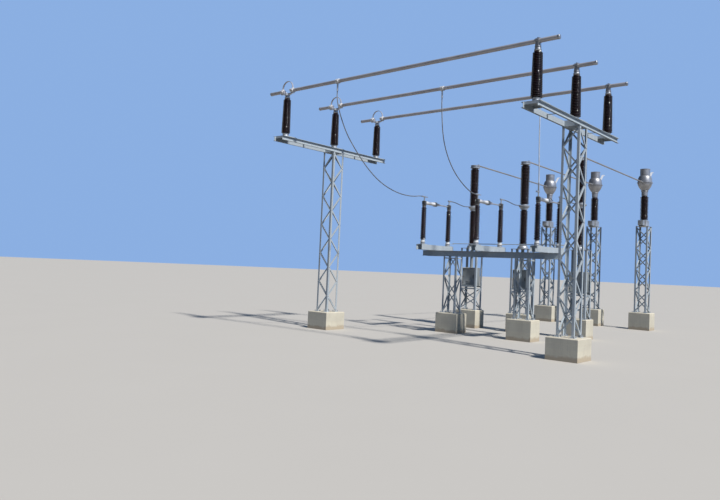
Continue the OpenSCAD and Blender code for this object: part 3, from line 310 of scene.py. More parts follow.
def castMetal(name, s):
    material, tree, shader, place = newMaterial(name, metallic=s["metallic"])
    skin = useGroup(tree, grainGroup, Vector=place, Scale=s["grain"], Strength=s["relief"])
    patches = spread(tree, noise(tree, place, 6, 4), 0.35, 0.65)
    dust = useGroup(tree, dustGroup, Vector=place, Amount=s["dust"])["Mask"]
    streaks = useGroup(tree, streakGroup, Vector=place, Amount=s["streaks"])["Mask"]
    colour = mixColour(tree, patches, s["dark"], s["light"])
    colour = mixColour(tree, streaks, colour, s["stain"])
    colour = mixColour(tree, dust, colour, s["dustColour"])
    plug(tree, shader.inputs["Base Color"], colour)
    rough = spread(tree, skin["Height"], 0.2, 0.8, s["smooth"], s["rough"])
    rough = maths(tree, "ADD", rough, maths(tree, "MULTIPLY", dust, 0.3), clamp=True)
    plug(tree, shader.inputs["Roughness"], rough)
    plug(tree, shader.inputs["Normal"], skin["Normal"])
    return material


def drawnTube(name, s):
    # drawing marks run along the tube, the weather has left cloudy grey patches
    material, tree, shader, place = newMaterial(name, metallic=s["metallic"])
    lines = noise(tree, stretched(tree, place, s["along"]), 1.0, 3)
    clouds = spread(tree, noise(tree, place, 1.7, 5), 0.35, 0.65)
    speckle = spread(tree, noise(tree, place, 90, 2), 0.55, 0.75)
    dust = useGroup(tree, dustGroup, Vector=place, Amount=s["dust"])["Mask"]
    colour = mixColour(tree, clouds, s["dark"], s["light"])
    colour = mixColour(tree, maths(tree, "MULTIPLY", spread(tree, lines, 0.4, 0.7), 0.4), colour, s["scratch"])
    colour = mixColour(tree, maths(tree, "MULTIPLY", speckle, 0.25), colour, s["spot"])
    colour = mixColour(tree, dust, colour, s["dustColour"])
    plug(tree, shader.inputs["Base Color"], colour)
    rough = spread(tree, lines, 0.3, 0.7, s["smooth"], s["rough"])
    plug(tree, shader.inputs["Roughness"], maths(tree, "ADD", rough, maths(tree, "MULTIPLY", clouds, 0.1)))
    plug(tree, shader.inputs["Normal"], bump(tree, lines, 0.1, 0.001))
    return material


def glazed(name, s):
    material, tree, shader, place = newMaterial(
        name, specular=s["specular"], coatRoughness=s["coatRoughness"])
    shader.inputs["Coat IOR"].default_value = s["coatIor"]
    turnedAway = tree.nodes.new("ShaderNodeLayerWeight").outputs["Facing"]
    plug(tree, shader.inputs["Coat Weight"], spread(tree, turnedAway, 0.3, 0.65, s["coat"], s["coatEdge"]))
    pooled = spread(tree, noise(tree, place, s["pool"], 4), 0.35, 0.65)
    dust = useGroup(tree, dustGroup, Vector=place, Amount=s["dust"], Scale=5.0)["Mask"]
    streaks = useGroup(tree, streakGroup, Vector=place, Amount=s["streaks"])["Mask"]
    colour = mixColour(tree, pooled, s["dark"], s["light"])
    colour = mixColour(tree, streaks, colour, s["streakColour"])
    colour = mixColour(tree, dust, colour, s["dustColour"])
    plug(tree, shader.inputs["Base Color"], colour)
    rough = spread(tree, pooled, 0.0, 1.0, s["smooth"], s["rough"])
    plug(tree, shader.inputs["Roughness"], maths(tree, "ADD", rough, maths(tree, "MULTIPLY", dust, 0.45)))
    waves = noise(tree, place, 26, 2)
    plug(tree, shader.inputs["Normal"], bump(tree, waves, 0.08, 0.003))
    return material


def castConcrete(name, s):
    material, tree, shader, place = newMaterial(name)
    parts = tree.nodes.new("ShaderNodeSeparateXYZ")
    tree.links.new(place, parts.inputs[0])
    blotches = spread(tree, noise(tree, place, 2.2, 5), 0.32, 0.68)
    fine = noise(tree, place, 160, 4)
    # boards of the formwork: a thin raised line between them, and each board a little different
    wobble = maths(tree, "MULTIPLY", noise(tree, place, 3.0, 2), 0.012)
    level = maths(tree, "DIVIDE", maths(tree, "ADD", parts.outputs["Z"], wobble), s["board"])
    withinBoard = maths(tree, "FRACT", level)
    seamDistance = maths(tree, "ABSOLUTE", maths(tree, "SUBTRACT", withinBoard, 0.5))
    seam = spread(tree, seamDistance, 0.475, 0.497)
    boardTone = tree.nodes.new("ShaderNodeTexWhiteNoise")
    boardTone.noise_dimensions = "1D"
    tree.links.new(maths(tree, "FLOOR", level), boardTone.inputs["W"])
    # blow holes, pressed in by the bump and painted darker as shade in the pits
    holes = tree.nodes.new("ShaderNodeTexVoronoi")
    holes.inputs["Scale"].default_value = s["holes"]
    tree.links.new(place, holes.inputs["Vector"])
    size = spread(tree, noise(tree, place, 9, 2), 0.45, 0.75, 0.02, 0.16)
    hole = maths(tree, "LESS_THAN", holes.outputs["Distance"], size)
    # soil splashed against the foot of the block, with a wavy upper edge
    splashTop = maths(tree, "MULTIPLY", noise(tree, place, 5, 4), s["splash"])
    splash = spread(tree, maths(tree, "DIVIDE", parts.outputs["Z"], splashTop), 0.6, 1.15, 0.85, 0.0)
    streaks = useGroup(tree, streakGroup, Vector=place, Amount=0.55)["Mask"]
    dust = useGroup(tree, dustGroup, Vector=place, Amount=s["dust"])["Mask"]
    colour = mixColour(tree, blotches, s["dark"], s["light"])
    colour = mixColour(tree, maths(tree, "MULTIPLY", boardTone.outputs["Value"], 0.22), colour, s["grey"])
    colour = mixColour(tree, spread(tree, fine, 0.35, 0.75, 0.0, 0.35), colour, s["sand"])
    colour = mixColour(tree, maths(tree, "MULTIPLY", streaks, 0.5), colour, s["stain"])
    colour = mixColour(tree, maths(tree, "MULTIPLY", seam, 0.3), colour, s["light"])
    # the blow holes take the stain colour: painted shade in the pits
    colour = mixColour(tree, maths(tree, "MULTIPLY", hole, 0.6), colour, s["stain"])
    colour = mixColour(tree, dust, colour, s["soil"])
    colour = mixColour(tree, splash, colour, s["soil"])
    plug(tree, shader.inputs["Base Color"], colour)
    plug(tree, shader.inputs["Roughness"], spread(tree, fine, 0.2, 0.8, 0.78, 0.95))
    relief = bump(tree, fine, 0.35, 0.003)
    relief = bump(tree, maths(tree, "MULTIPLY", seam, 1.0), 0.6, 0.004, relief)
    relief = bump(tree, maths(tree, "SUBTRACT", 1.0, hole), 0.7, 0.004, relief)
    plug(tree, shader.inputs["Normal"], relief)
    return material


def paintedSheet(name, s):
    material, tree, shader, place = newMaterial(name, metallic=s["metallic"])
    skin = useGroup(tree, grainGroup, Vector=place, Scale=260.0, Strength=0.12)
    clouds = spread(tree, noise(tree, place, 3, 4), 0.35, 0.65)
    dust = useGroup(tree, dustGroup, Vector=place, Amount=s["dust"])["Mask"]
    streaks = useGroup(tree, streakGroup, Vector=place, Amount=s["streaks"])["Mask"]
    colour = mixColour(tree, clouds, s["dark"], s["light"])
    colour = mixColour(tree, streaks, colour, s["streakColour"])
    colour = mixColour(tree, dust, colour, s["dustColour"])
    plug(tree, shader.inputs["Base Color"], colour)
    rough = maths(tree, "ADD", spread(tree, clouds, 0.0, 1.0, s["smooth"], s["rough"]),
                  maths(tree, "MULTIPLY", dust, 0.3), clamp=True)
    plug(tree, shader.inputs["Roughness"], rough)
    plug(tree, shader.inputs["Normal"], skin["Normal"])
    return material


soilDust = (0.62, 0.55, 0.42)

steel = galvanised("galvanisedSteel", {
    "metallic": 0.08, "specular": 0.12, "spangle": 65.0, "dark": (0.38, 0.44, 0.49), "light": (0.58, 0.65, 0.70),
    "dull": (0.42, 0.46, 0.49), "chalk": (0.70, 0.74, 0.77), "smooth": 0.5, "rough": 0.7,
    "streaks": 0.45, "dust": 0.2, "dustColour": soilDust})
zincBolt = galvanised("zincBolt", {
    "metallic": 0.75, "specular": 0.5, "spangle": 160.0, "dark": (0.46, 0.48, 0.50), "light": (0.66, 0.68, 0.70),
    "dull": (0.48, 0.49, 0.50), "chalk": (0.70, 0.71, 0.71), "smooth": 0.3, "rough": 0.5,
    "streaks": 0.2, "dust": 0.2, "dustColour": soilDust})
aluminium = castMetal("castAluminium", {
    "metallic": 0.6, "grain": 420.0, "relief": 0.3, "dark": (0.36, 0.37, 0.38), "light": (0.54, 0.55, 0.56),
    "stain": (0.30, 0.30, 0.30), "smooth": 0.3, "rough": 0.48, "streaks": 0.3, "dust": 0.15,
    "dustColour": soilDust})
spunAluminium = castMetal("spunAluminium", {
    "metallic": 0.75, "grain": 90.0, "relief": 0.06, "dark": (0.30, 0.30, 0.31), "light": (0.46, 0.46, 0.47),
    "stain": (0.24, 0.24, 0.25), "smooth": 0.38, "rough": 0.52, "streaks": 0.35, "dust": 0.12,
    "dustColour": soilDust})
# near-white arm metal: its pale colour is the sun's glare painted in; the horn straps and pads share it
armPaintedGlare = castMetal("armPaintedGlare", {
    "metallic": 0.1, "grain": 300.0, "relief": 0.15, "dark": (0.80, 0.81, 0.82), "light": (0.90, 0.90, 0.90),
    "stain": (0.70, 0.70, 0.69), "smooth": 0.3, "rough": 0.42, "streaks": 0.15, "dust": 0.12,
    "dustColour": soilDust})
darkCasting = castMetal("darkCasting", {
    "metallic": 0.3, "grain": 320.0, "relief": 0.3, "dark": (0.045, 0.048, 0.052), "light": (0.10, 0.10, 0.10),
    "stain": (0.20, 0.19, 0.17), "smooth": 0.42, "rough": 0.6, "streaks": 0.3, "dust": 0.25,
    "dustColour": soilDust})
tubeArm = castMetal("tubeArm", {
    "metallic": 0.7, "grain": 300.0, "relief": 0.12, "dark": (0.46, 0.45, 0.44), "light": (0.62, 0.61, 0.60),
    "stain": (0.38, 0.37, 0.36), "smooth": 0.32, "rough": 0.46, "streaks": 0.2, "dust": 0.12,
    "dustColour": soilDust})
clampMetal = castMetal("clampMetal", {
    "metallic": 0.75, "grain": 380.0, "relief": 0.25, "dark": (0.26, 0.27, 0.29), "light": (0.44, 0.45, 0.47),
    "stain": (0.22, 0.22, 0.22), "smooth": 0.3, "rough": 0.46, "streaks": 0.3, "dust": 0.12,
    "dustColour": soilDust})
# near-white clamp metal: its pale colour is a painted highlight of sunlit cast aluminium, a lit copy of the darker
# clamp metal
clampPaintedHighlight = castMetal("clampPaintedHighlight", {
    "metallic": 0.15, "grain": 380.0, "relief": 0.25, "dark": (0.74, 0.75, 0.76), "light": (0.90, 0.90, 0.90),
    "stain": (0.58, 0.57, 0.55), "smooth": 0.3, "rough": 0.45, "streaks": 0.25, "dust": 0.12,
    "dustColour": soilDust})
bearingPaint = castMetal("bearingPaint", {
    "metallic": 0.1, "grain": 260.0, "relief": 0.15, "dark": (0.70, 0.72, 0.73), "light": (0.82, 0.83, 0.83),
    "stain": (0.58, 0.57, 0.54), "smooth": 0.35, "rough": 0.5, "streaks": 0.4, "dust": 0.3,
    "dustColour": soilDust})
tubeAluminium = drawnTube("drawnTube", {
    "metallic": 0.45, "along": (0.9, 60, 60), "dark": (0.39, 0.375, 0.385), "light": (0.52, 0.50, 0.51),
    "scratch": (0.62, 0.60, 0.61), "spot": (0.43, 0.41, 0.41), "smooth": 0.4, "rough": 0.56, "dust": 0.12,
    "dustColour": soilDust})
linkAluminium = drawnTube("linkTube", {
    "metallic": 0.6, "along": (60, 0.9, 60), "dark": (0.30, 0.28, 0.26), "light": (0.42, 0.39, 0.36),
    "scratch": (0.50, 0.48, 0.46), "spot": (0.40, 0.38, 0.35), "smooth": 0.34, "rough": 0.5, "dust": 0.12,
    "dustColour": soilDust})
ropeAluminium = castMetal("strandedAluminium", {
    "metallic": 0.6, "grain": 500.0, "relief": 0.2, "dark": (0.24, 0.25, 0.27), "light": (0.38, 0.39, 0.41),
    "stain": (0.24, 0.24, 0.24), "smooth": 0.42, "rough": 0.6, "streaks": 0.2, "dust": 0.1,
    "dustColour": soilDust})
# a paler copy of the stranded aluminium for the far dropper: its lighter colour is painted sunlight
ropePaintedSunlit = castMetal("strandsPaintedSunlit", {
    "metallic": 0.3, "grain": 500.0, "relief": 0.2, "dark": (0.62, 0.65, 0.68), "light": (0.80, 0.82, 0.84),
    "stain": (0.50, 0.52, 0.54), "smooth": 0.42, "rough": 0.6, "streaks": 0.2, "dust": 0.05,
    "dustColour": soilDust})
glaze = glazed("brownGlaze", {
    "dark": (0.008, 0.003, 0.0028), "light": (0.026, 0.008, 0.006), "pool": 14.0, "specular": 0.1,
    "coat": 1.0, "coatEdge": 0.05, "coatIor": 1.65, "coatRoughness": 0.08, "smooth": 0.3, "rough": 0.44, "dust": 0.03, "dustColour": (0.14, 0.10, 0.08),
    "streaks": 0.06, "streakColour": (0.10, 0.06, 0.05)})
cement = castMetal("cementRing", {
    "metallic": 0.0, "grain": 300.0, "relief": 0.6, "dark": (0.50, 0.49, 0.46), "light": (0.62, 0.61, 0.57),
    "stain": (0.40, 0.38, 0.35), "smooth": 0.8, "rough": 0.95, "streaks": 0.2, "dust": 0.2,
    "dustColour": soilDust})
concrete = castConcrete("castConcrete", {
    "dark": (0.66, 0.61, 0.49), "light": (0.80, 0.75, 0.60), "grey": (0.54, 0.53, 0.48),
    "sand": (0.78, 0.73, 0.60), "stain": (0.40, 0.37, 0.30), "soil": (0.56, 0.46, 0.33),
    "board": 0.15, "holes": 42.0, "splash": 0.26, "dust": 0.45})
cabinetPaint = paintedSheet("cabinetPaint", {
    "metallic": 0.1, "dark": (0.26, 0.29, 0.30), "light": (0.34, 0.37, 0.38), "streakColour": (0.46, 0.48, 0.48),
    "smooth": 0.3, "rough": 0.42, "streaks": 0.4, "dust": 0.5, "dustColour": soilDust})
rubber = paintedSheet("blackRubber", {
    "metallic": 0.0, "dark": (0.022, 0.022, 0.024), "light": (0.04, 0.04, 0.042),
    "streakColour": (0.10, 0.10, 0.10), "smooth": 0.55, "rough": 0.7, "streaks": 0.2, "dust": 0.3,
    "dustColour": soilDust})
contactMetal = castMetal("silveredCopper", {
    "metallic": 0.9, "grain": 350.0, "relief": 0.12, "dark": (0.42, 0.37, 0.33), "light": (0.60, 0.56, 0.52),
    "stain": (0.30, 0.27, 0.24), "smooth": 0.28, "rough": 0.46, "streaks": 0.2, "dust": 0.1,
    "dustColour": soilDust})
darkHousing = paintedSheet("darkHousing", {
    "metallic": 0.2, "dark": (0.09, 0.095, 0.10), "light": (0.14, 0.145, 0.15),
    "streakColour": (0.25, 0.25, 0.25), "smooth": 0.4, "rough": 0.55, "streaks": 0.3, "dust": 0.35,
    "dustColour": soilDust})
print("finishes made")


# What the record's slots look like, and the nodes that differ from their slot

slotFinish = {
    "concrete": concrete, "galvanised_steel": steel, "brown_porcelain": glaze, "cast_aluminium": aluminium,
    "aluminium_tube": tubeAluminium, "aluminium_rope": ropeAluminium, "cabinet_paint": cabinetPaint}
# the expansion and dropper clamps take the near-white finish, whose pale colour is a painted highlight
nodeFinish = {
    "bearing_housings": aluminium, "link_tubes": linkAluminium, "busbar_clamps": clampMetal,
    "expansion_clamps": clampPaintedHighlight, "dropper_clamps": clampPaintedHighlight, "busbar_end_plugs": clampMetal}


def dressNodes():
    slots = {part["node"]: part["material_slot"] for part in frame["record"]["subparts"]}
    for name, piece in frame["nodes"].items():
        finish = nodeFinish.get(name, slotFinish[slots[name]])
        piece.data.materials.clear()
        piece.data.materials.append(finish)


dressNodes()
print("nodes dressed")


# Helpers that make pieces

def finishPiece(name, shape, body, finish, replaced=(), sharpAngle=38):
    bmesh.ops.recalc_face_normals(shape, faces=shape.faces)
    mesh = bpy.data.meshes.new(name)
    shape.to_mesh(mesh)
    shape.free()
    mesh.shade_smooth()
    mesh.set_sharp_from_angle(angle=math.radians(sharpAngle))
    mesh.materials.append(finish)
    piece = bpy.data.objects.new(name, mesh)
    bpy.context.scene.collection.objects.link(piece)
    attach(piece, body)
    if replaced:
        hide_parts(*replaced)
    return piece


def spun(profile, steps):
    # a closed round body about +Z, from a side view whose ends lie on the axis
    shape = bmesh.new()
    verts = [shape.verts.new((r, 0, z)) for r, z in profile]
    edges = [shape.edges.new(pair) for pair in zip(verts, verts[1:])]
    bmesh.ops.spin(shape, geom=verts + edges, cent=(0, 0, 0), axis=(0, 0, 1), angle=math.tau,
                   steps=steps, use_merge=True, use_duplicate=False)
    bmesh.ops.remove_doubles(shape, verts=shape.verts, dist=1e-6)
    return shape


def eased(profile, width):
    # cuts the corners of a side view, so that turned edges catch the light
    points = [Vector((r, 0, z)) for r, z in profile]
    cut = [profile[0]]
    for before, corner, after in zip(points, points[1:], points[2:]):
        for other in (before, after):
            way = other - corner
            place = corner + way.normalized() * min(width, way.length * 0.4)
            cut.append((place.x, place.z))
    return cut + [profile[-1]]


def bulge(innerR, outerR, low, high, count=8):
    # a rounded ring in a side view, from its lower edge to its upper one
    angles = [math.pi * k / count for k in range(count + 1)]
    return [(innerR + (outerR - innerR) * math.sin(a), (low + high) / 2 - (high - low) / 2 * math.cos(a))
            for a in angles]


def turnedPiece(name, profile, places, finish, replaced=(), steps=48, body="fixed_frame"):
    unit = asMesh(spun(profile, steps))
    shape = bmesh.new()
    repeatAt(shape, unit, places)
    return finishPiece(name, shape, body, finish, replaced)


def asMesh(shape):
    mesh = bpy.data.meshes.new("unit")
    shape.to_mesh(mesh)
    shape.free()
    return mesh


def repeatAt(shape, unit, places):
    # adds a copy of the unit mesh at each place, given as a matrix
    for place in places:
        copy = unit.copy()
        copy.transform(place)
        shape.from_mesh(copy)
        bpy.data.meshes.remove(copy)


def addBox(shape, low, high):
    # an upright box between two corners
    size = Vector(high) - Vector(low)
    middle = (Vector(high) + Vector(low)) / 2
    place = Matrix.Translation(middle) @ Matrix.Diagonal((*size, 1))
    return bmesh.ops.create_cube(shape, size=1, matrix=place)["verts"]


def bevelAll(shape, width, segments=1):
    bmesh.ops.bevel(shape, geom=shape.edges, offset=width, segments=segments, profile=0.5,
                    affect="EDGES", material=-1, clamp_overlap=True)


# Hanging conductors, with their routes as in the part's source, in metres

conductor = {"diameter": 0.032, "strands": 14, "lay": 0.40, "step": 0.03, "groove": 0.16}
nearDropperRoute = [
    (-6.720, -2.300, 7.600), (-6.720, -2.300, 7.450), (-6.705, -2.280, 7.250), (-6.670, -2.230, 7.000),
    (-6.640, -2.140, 6.750), (-6.625, -2.010, 6.510), (-6.618, -1.838, 6.270), (-6.620, -1.632, 6.060),
    (-6.625, -1.395, 5.850), (-6.630, -1.138, 5.640), (-6.640, -0.860, 5.440), (-6.650, -0.560, 5.260),
    (-6.660, -0.258, 5.110), (-6.670, 0.055, 4.990), (-6.680, 0.378, 4.900), (-6.690, 0.700, 4.835),
    (-6.700, 1.020, 4.795), (-6.710, 1.340, 4.780), (-6.720, 1.660, 4.785), (-6.740, 1.960, 4.815),
    (-6.750, 2.190, 4.850), (-6.750, 2.260, 4.855), (-6.750, 2.340, 4.855)]
middleDropperRoute = [
    (-4.400, 0.000, 7.600), (-4.400, 0.000, 7.450), (-4.400, 0.020, 7.200), (-4.400, 0.055, 6.900),
    (-4.405, 0.112, 6.600), (-4.410, 0.205, 6.300), (-4.420, 0.360, 6.010), (-4.430, 0.556, 5.750),
    (-4.440, 0.785, 5.520), (-4.450, 1.050, 5.320), (-4.460, 1.340, 5.150), (-4.475, 1.660, 5.005),
    (-4.490, 1.940, 4.910), (-4.500, 2.150, 4.865), (-4.500, 2.250, 4.855), (-4.500, 2.340, 4.855)]
farDropperRoute = [
    (-2.190, 2.300, 7.600), (-2.190, 2.300, 7.400), (-2.195, 2.310, 7.000), (-2.205, 2.340, 6.500),
    (-2.220, 2.390, 6.000), (-2.238, 2.455, 5.600), (-2.250, 2.490, 5.300), (-2.250, 2.490, 5.150)]
leadRoute = [
    (4.240, 4.855), (4.330, 4.855), (4.520, 4.842), (4.720, 4.815), (4.920, 4.785),
    (5.120, 4.765), (5.300, 4.766), (5.450, 4.780), (5.550, 4.780)]


def smoothRoute(route, step):
    points = [Vector(p) for p in route]
    spans = [(b - a).length for a, b in zip(points, points[1:])]
    chords = [(b - a) / span for a, b, span in zip(points, points[1:], spans)]
    tangents = [chords[0]]
    for i in range(1, len(chords)):
        blended = chords[i - 1] * spans[i] + chords[i] * spans[i - 1]
        tangents.append(blended / (spans[i - 1] + spans[i]))
    tangents.append(chords[-1])
    path = []
    for i, span in enumerate(spans):
        leave = points[i] + tangents[i] * span / 3
        arrive = points[i + 1] - tangents[i + 1] * span / 3
        count = max(2, math.ceil(span / step) + 1)
        path += interpolate_bezier(points[i], leave, arrive, points[i + 1], count)[:-1]
    return path + [points[-1]]


def strandedTube(path, s):
    # a ring of strand crowns and grooves is drawn along the path and turned with the lay of the strands
    shape = bmesh.new()
    bmesh.ops.create_circle(shape, segments=3 * s["strands"], radius=s["diameter"] / 2)
    shape.verts.ensure_lookup_table()
    for i in range(0, len(shape.verts), 3):
        shape.verts[i].co *= 1 - s["groove"]
    headings = [(b - a).normalized() for a, b in zip(path, path[1:])]
    headings.append(headings[-1])
    start = Matrix.Translation(path[0]) @ Vector((0, 0, 1)).rotation_difference(headings[0]).to_matrix().to_4x4()
    bmesh.ops.transform(shape, matrix=start, verts=shape.verts)
    rim = shape.edges[:]
    bmesh.ops.edgeloop_fill(shape, edges=rim)
    for i in range(1, len(path)):
        grown = bmesh.ops.extrude_edge_only(shape, edges=rim)["geom"]
        verts = [part for part in grown if isinstance(part, bmesh.types.BMVert)]
        rim = [part for part in grown if isinstance(part, bmesh.types.BMEdge) and all(v in verts for v in part.verts)]
        bend = headings[i - 1].rotation_difference(headings[i]).to_matrix().to_4x4()
        lay = Matrix.Rotation(math.tau * (path[i] - path[i - 1]).length / s["lay"], 4, headings[i])
        move = Matrix.Translation(path[i]) @ lay @ bend @ Matrix.Translation(-path[i - 1])
        bmesh.ops.transform(shape, matrix=move, verts=verts)
    bmesh.ops.edgeloop_fill(shape, edges=rim)
    return shape


def hangConductor(name, node, route, s, finish=ropeAluminium):
    path = smoothRoute(route, s["step"])
    piece = finishPiece(name, strandedTube(path, s), fixed, finish, [node], sharpAngle=50)


hangConductor("near_dropper_rope", "near_dropper", nearDropperRoute, conductor)
hangConductor("middle_dropper_rope", "middle_dropper", middleDropperRoute, conductor)
# the far dropper takes the paler rope, painted as if lit by the sun
hangConductor("far_dropper_rope", "far_dropper", farDropperRoute, conductor, ropePaintedSunlit)
for poleNumber, x in enumerate(poleX, 1):
    leadPath = [(x, y, z) for y, z in leadRoute]
    hangConductor("lead_rope_%d" % poleNumber, "lead_%d" % poleNumber, leadPath, conductor)
print("conductors hung")


# Porcelain: each shed has a hollow underside with a drip edge, a rounded rim and a sloping top

porcelain = {
    "core": 0.67, "end": 0.030, "steps": 40, "sharpAngle": 80,
    "shed": [(1.00, 0.26), (0.80, 0.20), (0.10, 0.10), (0.02, 0.08), (0.00, 0.18), (0.00, 0.34), (0.10, 0.45),
             (0.70, 0.74), (1.00, 0.92)],  # share of the shed's depth from its rim, share of the pitch
    "cementOut": 0.012, "cementHeight": 0.014}


def shedProfile(height, lowR, highR, sheds, core, s):
    pitch = (height - 2 * s["end"]) / sheds
    profile = [(0, 0), (lowR * core, 0)]
    for i in range(sheds):
        rim = lowR + (highR - lowR) * i / sheds
        depth = rim * (1 - core)
        foot = s["end"] + i * pitch
        profile += [(rim - inward * depth, foot + rise * pitch) for inward, rise in s["shed"]]
    return profile + [(highR * core, height), (0, height)]


def makePorcelain(name, places, height, diameters, sheds, body, replaced, core=porcelain["core"], s=porcelain):
    lowR, highR = diameters[0] / 2, diameters[1] / 2
    unit = asMesh(spun(shedProfile(height, lowR, highR, sheds, core, s), s["steps"]))
    shape = bmesh.new()
    repeatAt(shape, unit, [Matrix.Translation(place) for place in places])
    finishPiece(name, shape, body, glaze, replaced, s["sharpAngle"])

    # cement swells out of the joints with the fittings, below and above
    rings = bmesh.new()
    for radius, level, up in ((lowR * core, 0, 1), (highR * core, height, -1)):
        swell = [(0, 0), (radius + s["cementOut"], 0), (radius + s["cementOut"], s["cementHeight"] * 0.4),
                 (radius, s["cementHeight"]), (0, s["cementHeight"])]
        unit = asMesh(spun([(r, up * z) for r, z in swell], s["steps"]))
        repeatAt(rings, unit, [Matrix.Translation(place + Vector((0, 0, level))) for place in places])
    finishPiece(name + "_cement", rings, body, cement)


def lowestOf(node):
    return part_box(node)[0].z


def highestOf(node):
    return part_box(node)[1].z


busPosts = {"taper": 0.045, "sheds": 26}
rotorPosts = {"taper": 0.020, "sheds": 14, "core": 0.66}
breakerPosts = {"lowHeight": 1.340, "lowDiameter": 0.290, "lowSheds": 24, "topHeight": 1.530, "topSheds": 26}
ctPosts = {"sheds": 17}

busPostD = sizeOf("post_insulators").y - (phaseY[2] - phaseY[0])
makePorcelain(
    "busbar_porcelain",
    [Vector((x, y, lowestOf("post_insulators"))) for x in columnX for y in phaseY],
    sizeOf("post_insulators").z, (busPostD, busPostD - busPosts["taper"]), busPosts["sheds"],
    fixed, ["post_insulators"])
breakerLowZ = lowestOf("breaker_insulators")
breakerTopD = sizeOf("breaker_insulators").y
makePorcelain(
    "breaker_support_porcelain", [Vector((x, breakerY, breakerLowZ)) for x in poleX],
    breakerPosts["lowHeight"], (breakerPosts["lowDiameter"], breakerPosts["lowDiameter"]),
    breakerPosts["lowSheds"], fixed, ["breaker_insulators"])
makePorcelain(
    "breaker_chamber_porcelain",
    [Vector((x, breakerY, highestOf("breaker_insulators") - breakerPosts["topHeight"])) for x in poleX],
    breakerPosts["topHeight"], (breakerTopD, breakerTopD), breakerPosts["topSheds"], fixed, [])
ctPostD = sizeOf("ct_insulators").y
makePorcelain(
    "transformer_porcelain", [Vector((x, ctY, lowestOf("ct_insulators"))) for x in poleX],
    sizeOf("ct_insulators").z, (ctPostD, ctPostD), ctPosts["sheds"], fixed, ["ct_insulators"])
for i, x in enumerate(poleX, 1):
    for side, y in (("near", nearY), ("far", farY)):
        post = "%s_post_%d" % (side, i)
        diameter = sizeOf(post).y
        makePorcelain(
            post + "_porcelain", [Vector((x, y, lowestOf(post)))], sizeOf(post).z,
            (diameter, diameter - rotorPosts["taper"]), rotorPosts["sheds"], "%s_rotor_%d" % (side, i), [post],
            rotorPosts["core"])
print("porcelain made")


# Fasteners: a head on a washer above the plates, a nut and the end of the shank below them

bolts = {
    "m8": {"across": 0.013, "head": 0.005, "washer": 0.016, "washerHeight": 0.0016, "nut": 0.006, "shank": 0.008},
    "m12": {"across": 0.019, "head": 0.008, "washer": 0.024, "washerHeight": 0.0025, "nut": 0.010, "shank": 0.012},
    "m16": {"across": 0.024, "head": 0.010, "washer": 0.030, "washerHeight": 0.003, "nut": 0.013, "shank": 0.016}}
anchors = {"across": 0.030, "nut": 0.018, "washer": 0.037, "washerHeight": 0.004, "stud": 0.020, "studHeight": 0.05,
           "offset": 0.055, "plate": 0.012}


def addPrism(shape, sides, across, low, high):
    # an upright prism, measured across its flats
    radius = across / 2 / math.cos(math.pi / sides)
    bmesh.ops.create_cone(shape, cap_ends=True, segments=sides, radius1=radius, radius2=radius,
                          depth=high - low, matrix=Matrix.Translation((0, 0, (low + high) / 2)))


def boltUnit(size, grip=None):
    s = bolts[size]
    shape = bmesh.new()
    addPrism(shape, 10, s["washer"], 0, s["washerHeight"])
    addPrism(shape, 6, s["across"], s["washerHeight"], s["washerHeight"] + s["head"])
    if grip is not None:
        addPrism(shape, 6, s["across"], -grip - s["nut"], -grip)
        addPrism(shape, 8, s["shank"], -grip - s["nut"] - s["shank"] / 3, -grip - s["nut"])
    return asMesh(shape)


def anchorUnit(s):
    shape = bmesh.new()
    addPrism(shape, 10, s["washer"], 0, s["washerHeight"])
    addPrism(shape, 6, s["across"], s["washerHeight"], s["washerHeight"] + s["nut"])
    addPrism(shape, 8, s["stud"], s["washerHeight"] + s["nut"], s["studHeight"])
    return asMesh(shape)


def outwards(point, direction):
    turn = Vector((0, 0, 1)).rotation_difference(Vector(direction)).to_matrix().to_4x4()
    return Matrix.Translation(point) @ turn


def fasten(name, unit, places, body=fixed):
    shape = bmesh.new()
    repeatAt(shape, unit, places)
    finishPiece(name, shape, body, zincBolt)


def ringOf(centre, radius, count, direction=(0, 0, 1), first=0.0):
    # places on a circle about an upright axis
    angles = [first + math.tau * k / count for k in range(count)]
    return [outwards((centre[0] + radius * math.cos(a), centre[1] + radius * math.sin(a), centre[2]), direction)
            for a in angles]


def corners(centre, halfX, halfY, direction=(0, 0, 1)):
    return [outwards((centre[0] + i * halfX, centre[1] + j * halfY, centre[2]), direction)
            for i in (-1, 1) for j in (-1, 1)]


# Lattice frames: one bolt wherever bars meet a leg, and four anchors in each foot plate

trestleX = [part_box("trestle_legs")[0].x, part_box("trestle_legs")[1].x]
frames = {
    "column": {"places": [(x, 0) for x in columnX], "leg": 0.070, "grip": 0.012, "bars": 11, "size": "m16"},
    "trestle": {"places": [(trestleX[0] + 0.28, middleY), (trestleX[1] - 0.28, middleY)], "leg": 0.065,
                "grip": 0.011, "bars": 3, "size": "m16"},
    "breaker": {"places": [(x, breakerY) for x in poleX], "leg": 0.075, "grip": 0.012, "bars": 2, "size": "m16",
                "height": 0.798},
    "ct": {"places": [(x, ctY) for x in poleX], "leg": 0.070, "grip": 0.012, "bars": 8, "size": "m12"}}
barEndMargin = 0.022


def frameWidths(name, s):
    # over the legs, along X and along Y
    xs = [x for x, y in s["places"]]
    size = sizeOf(name + "_legs")
    return size.x - (max(xs) - min(xs)), size.y


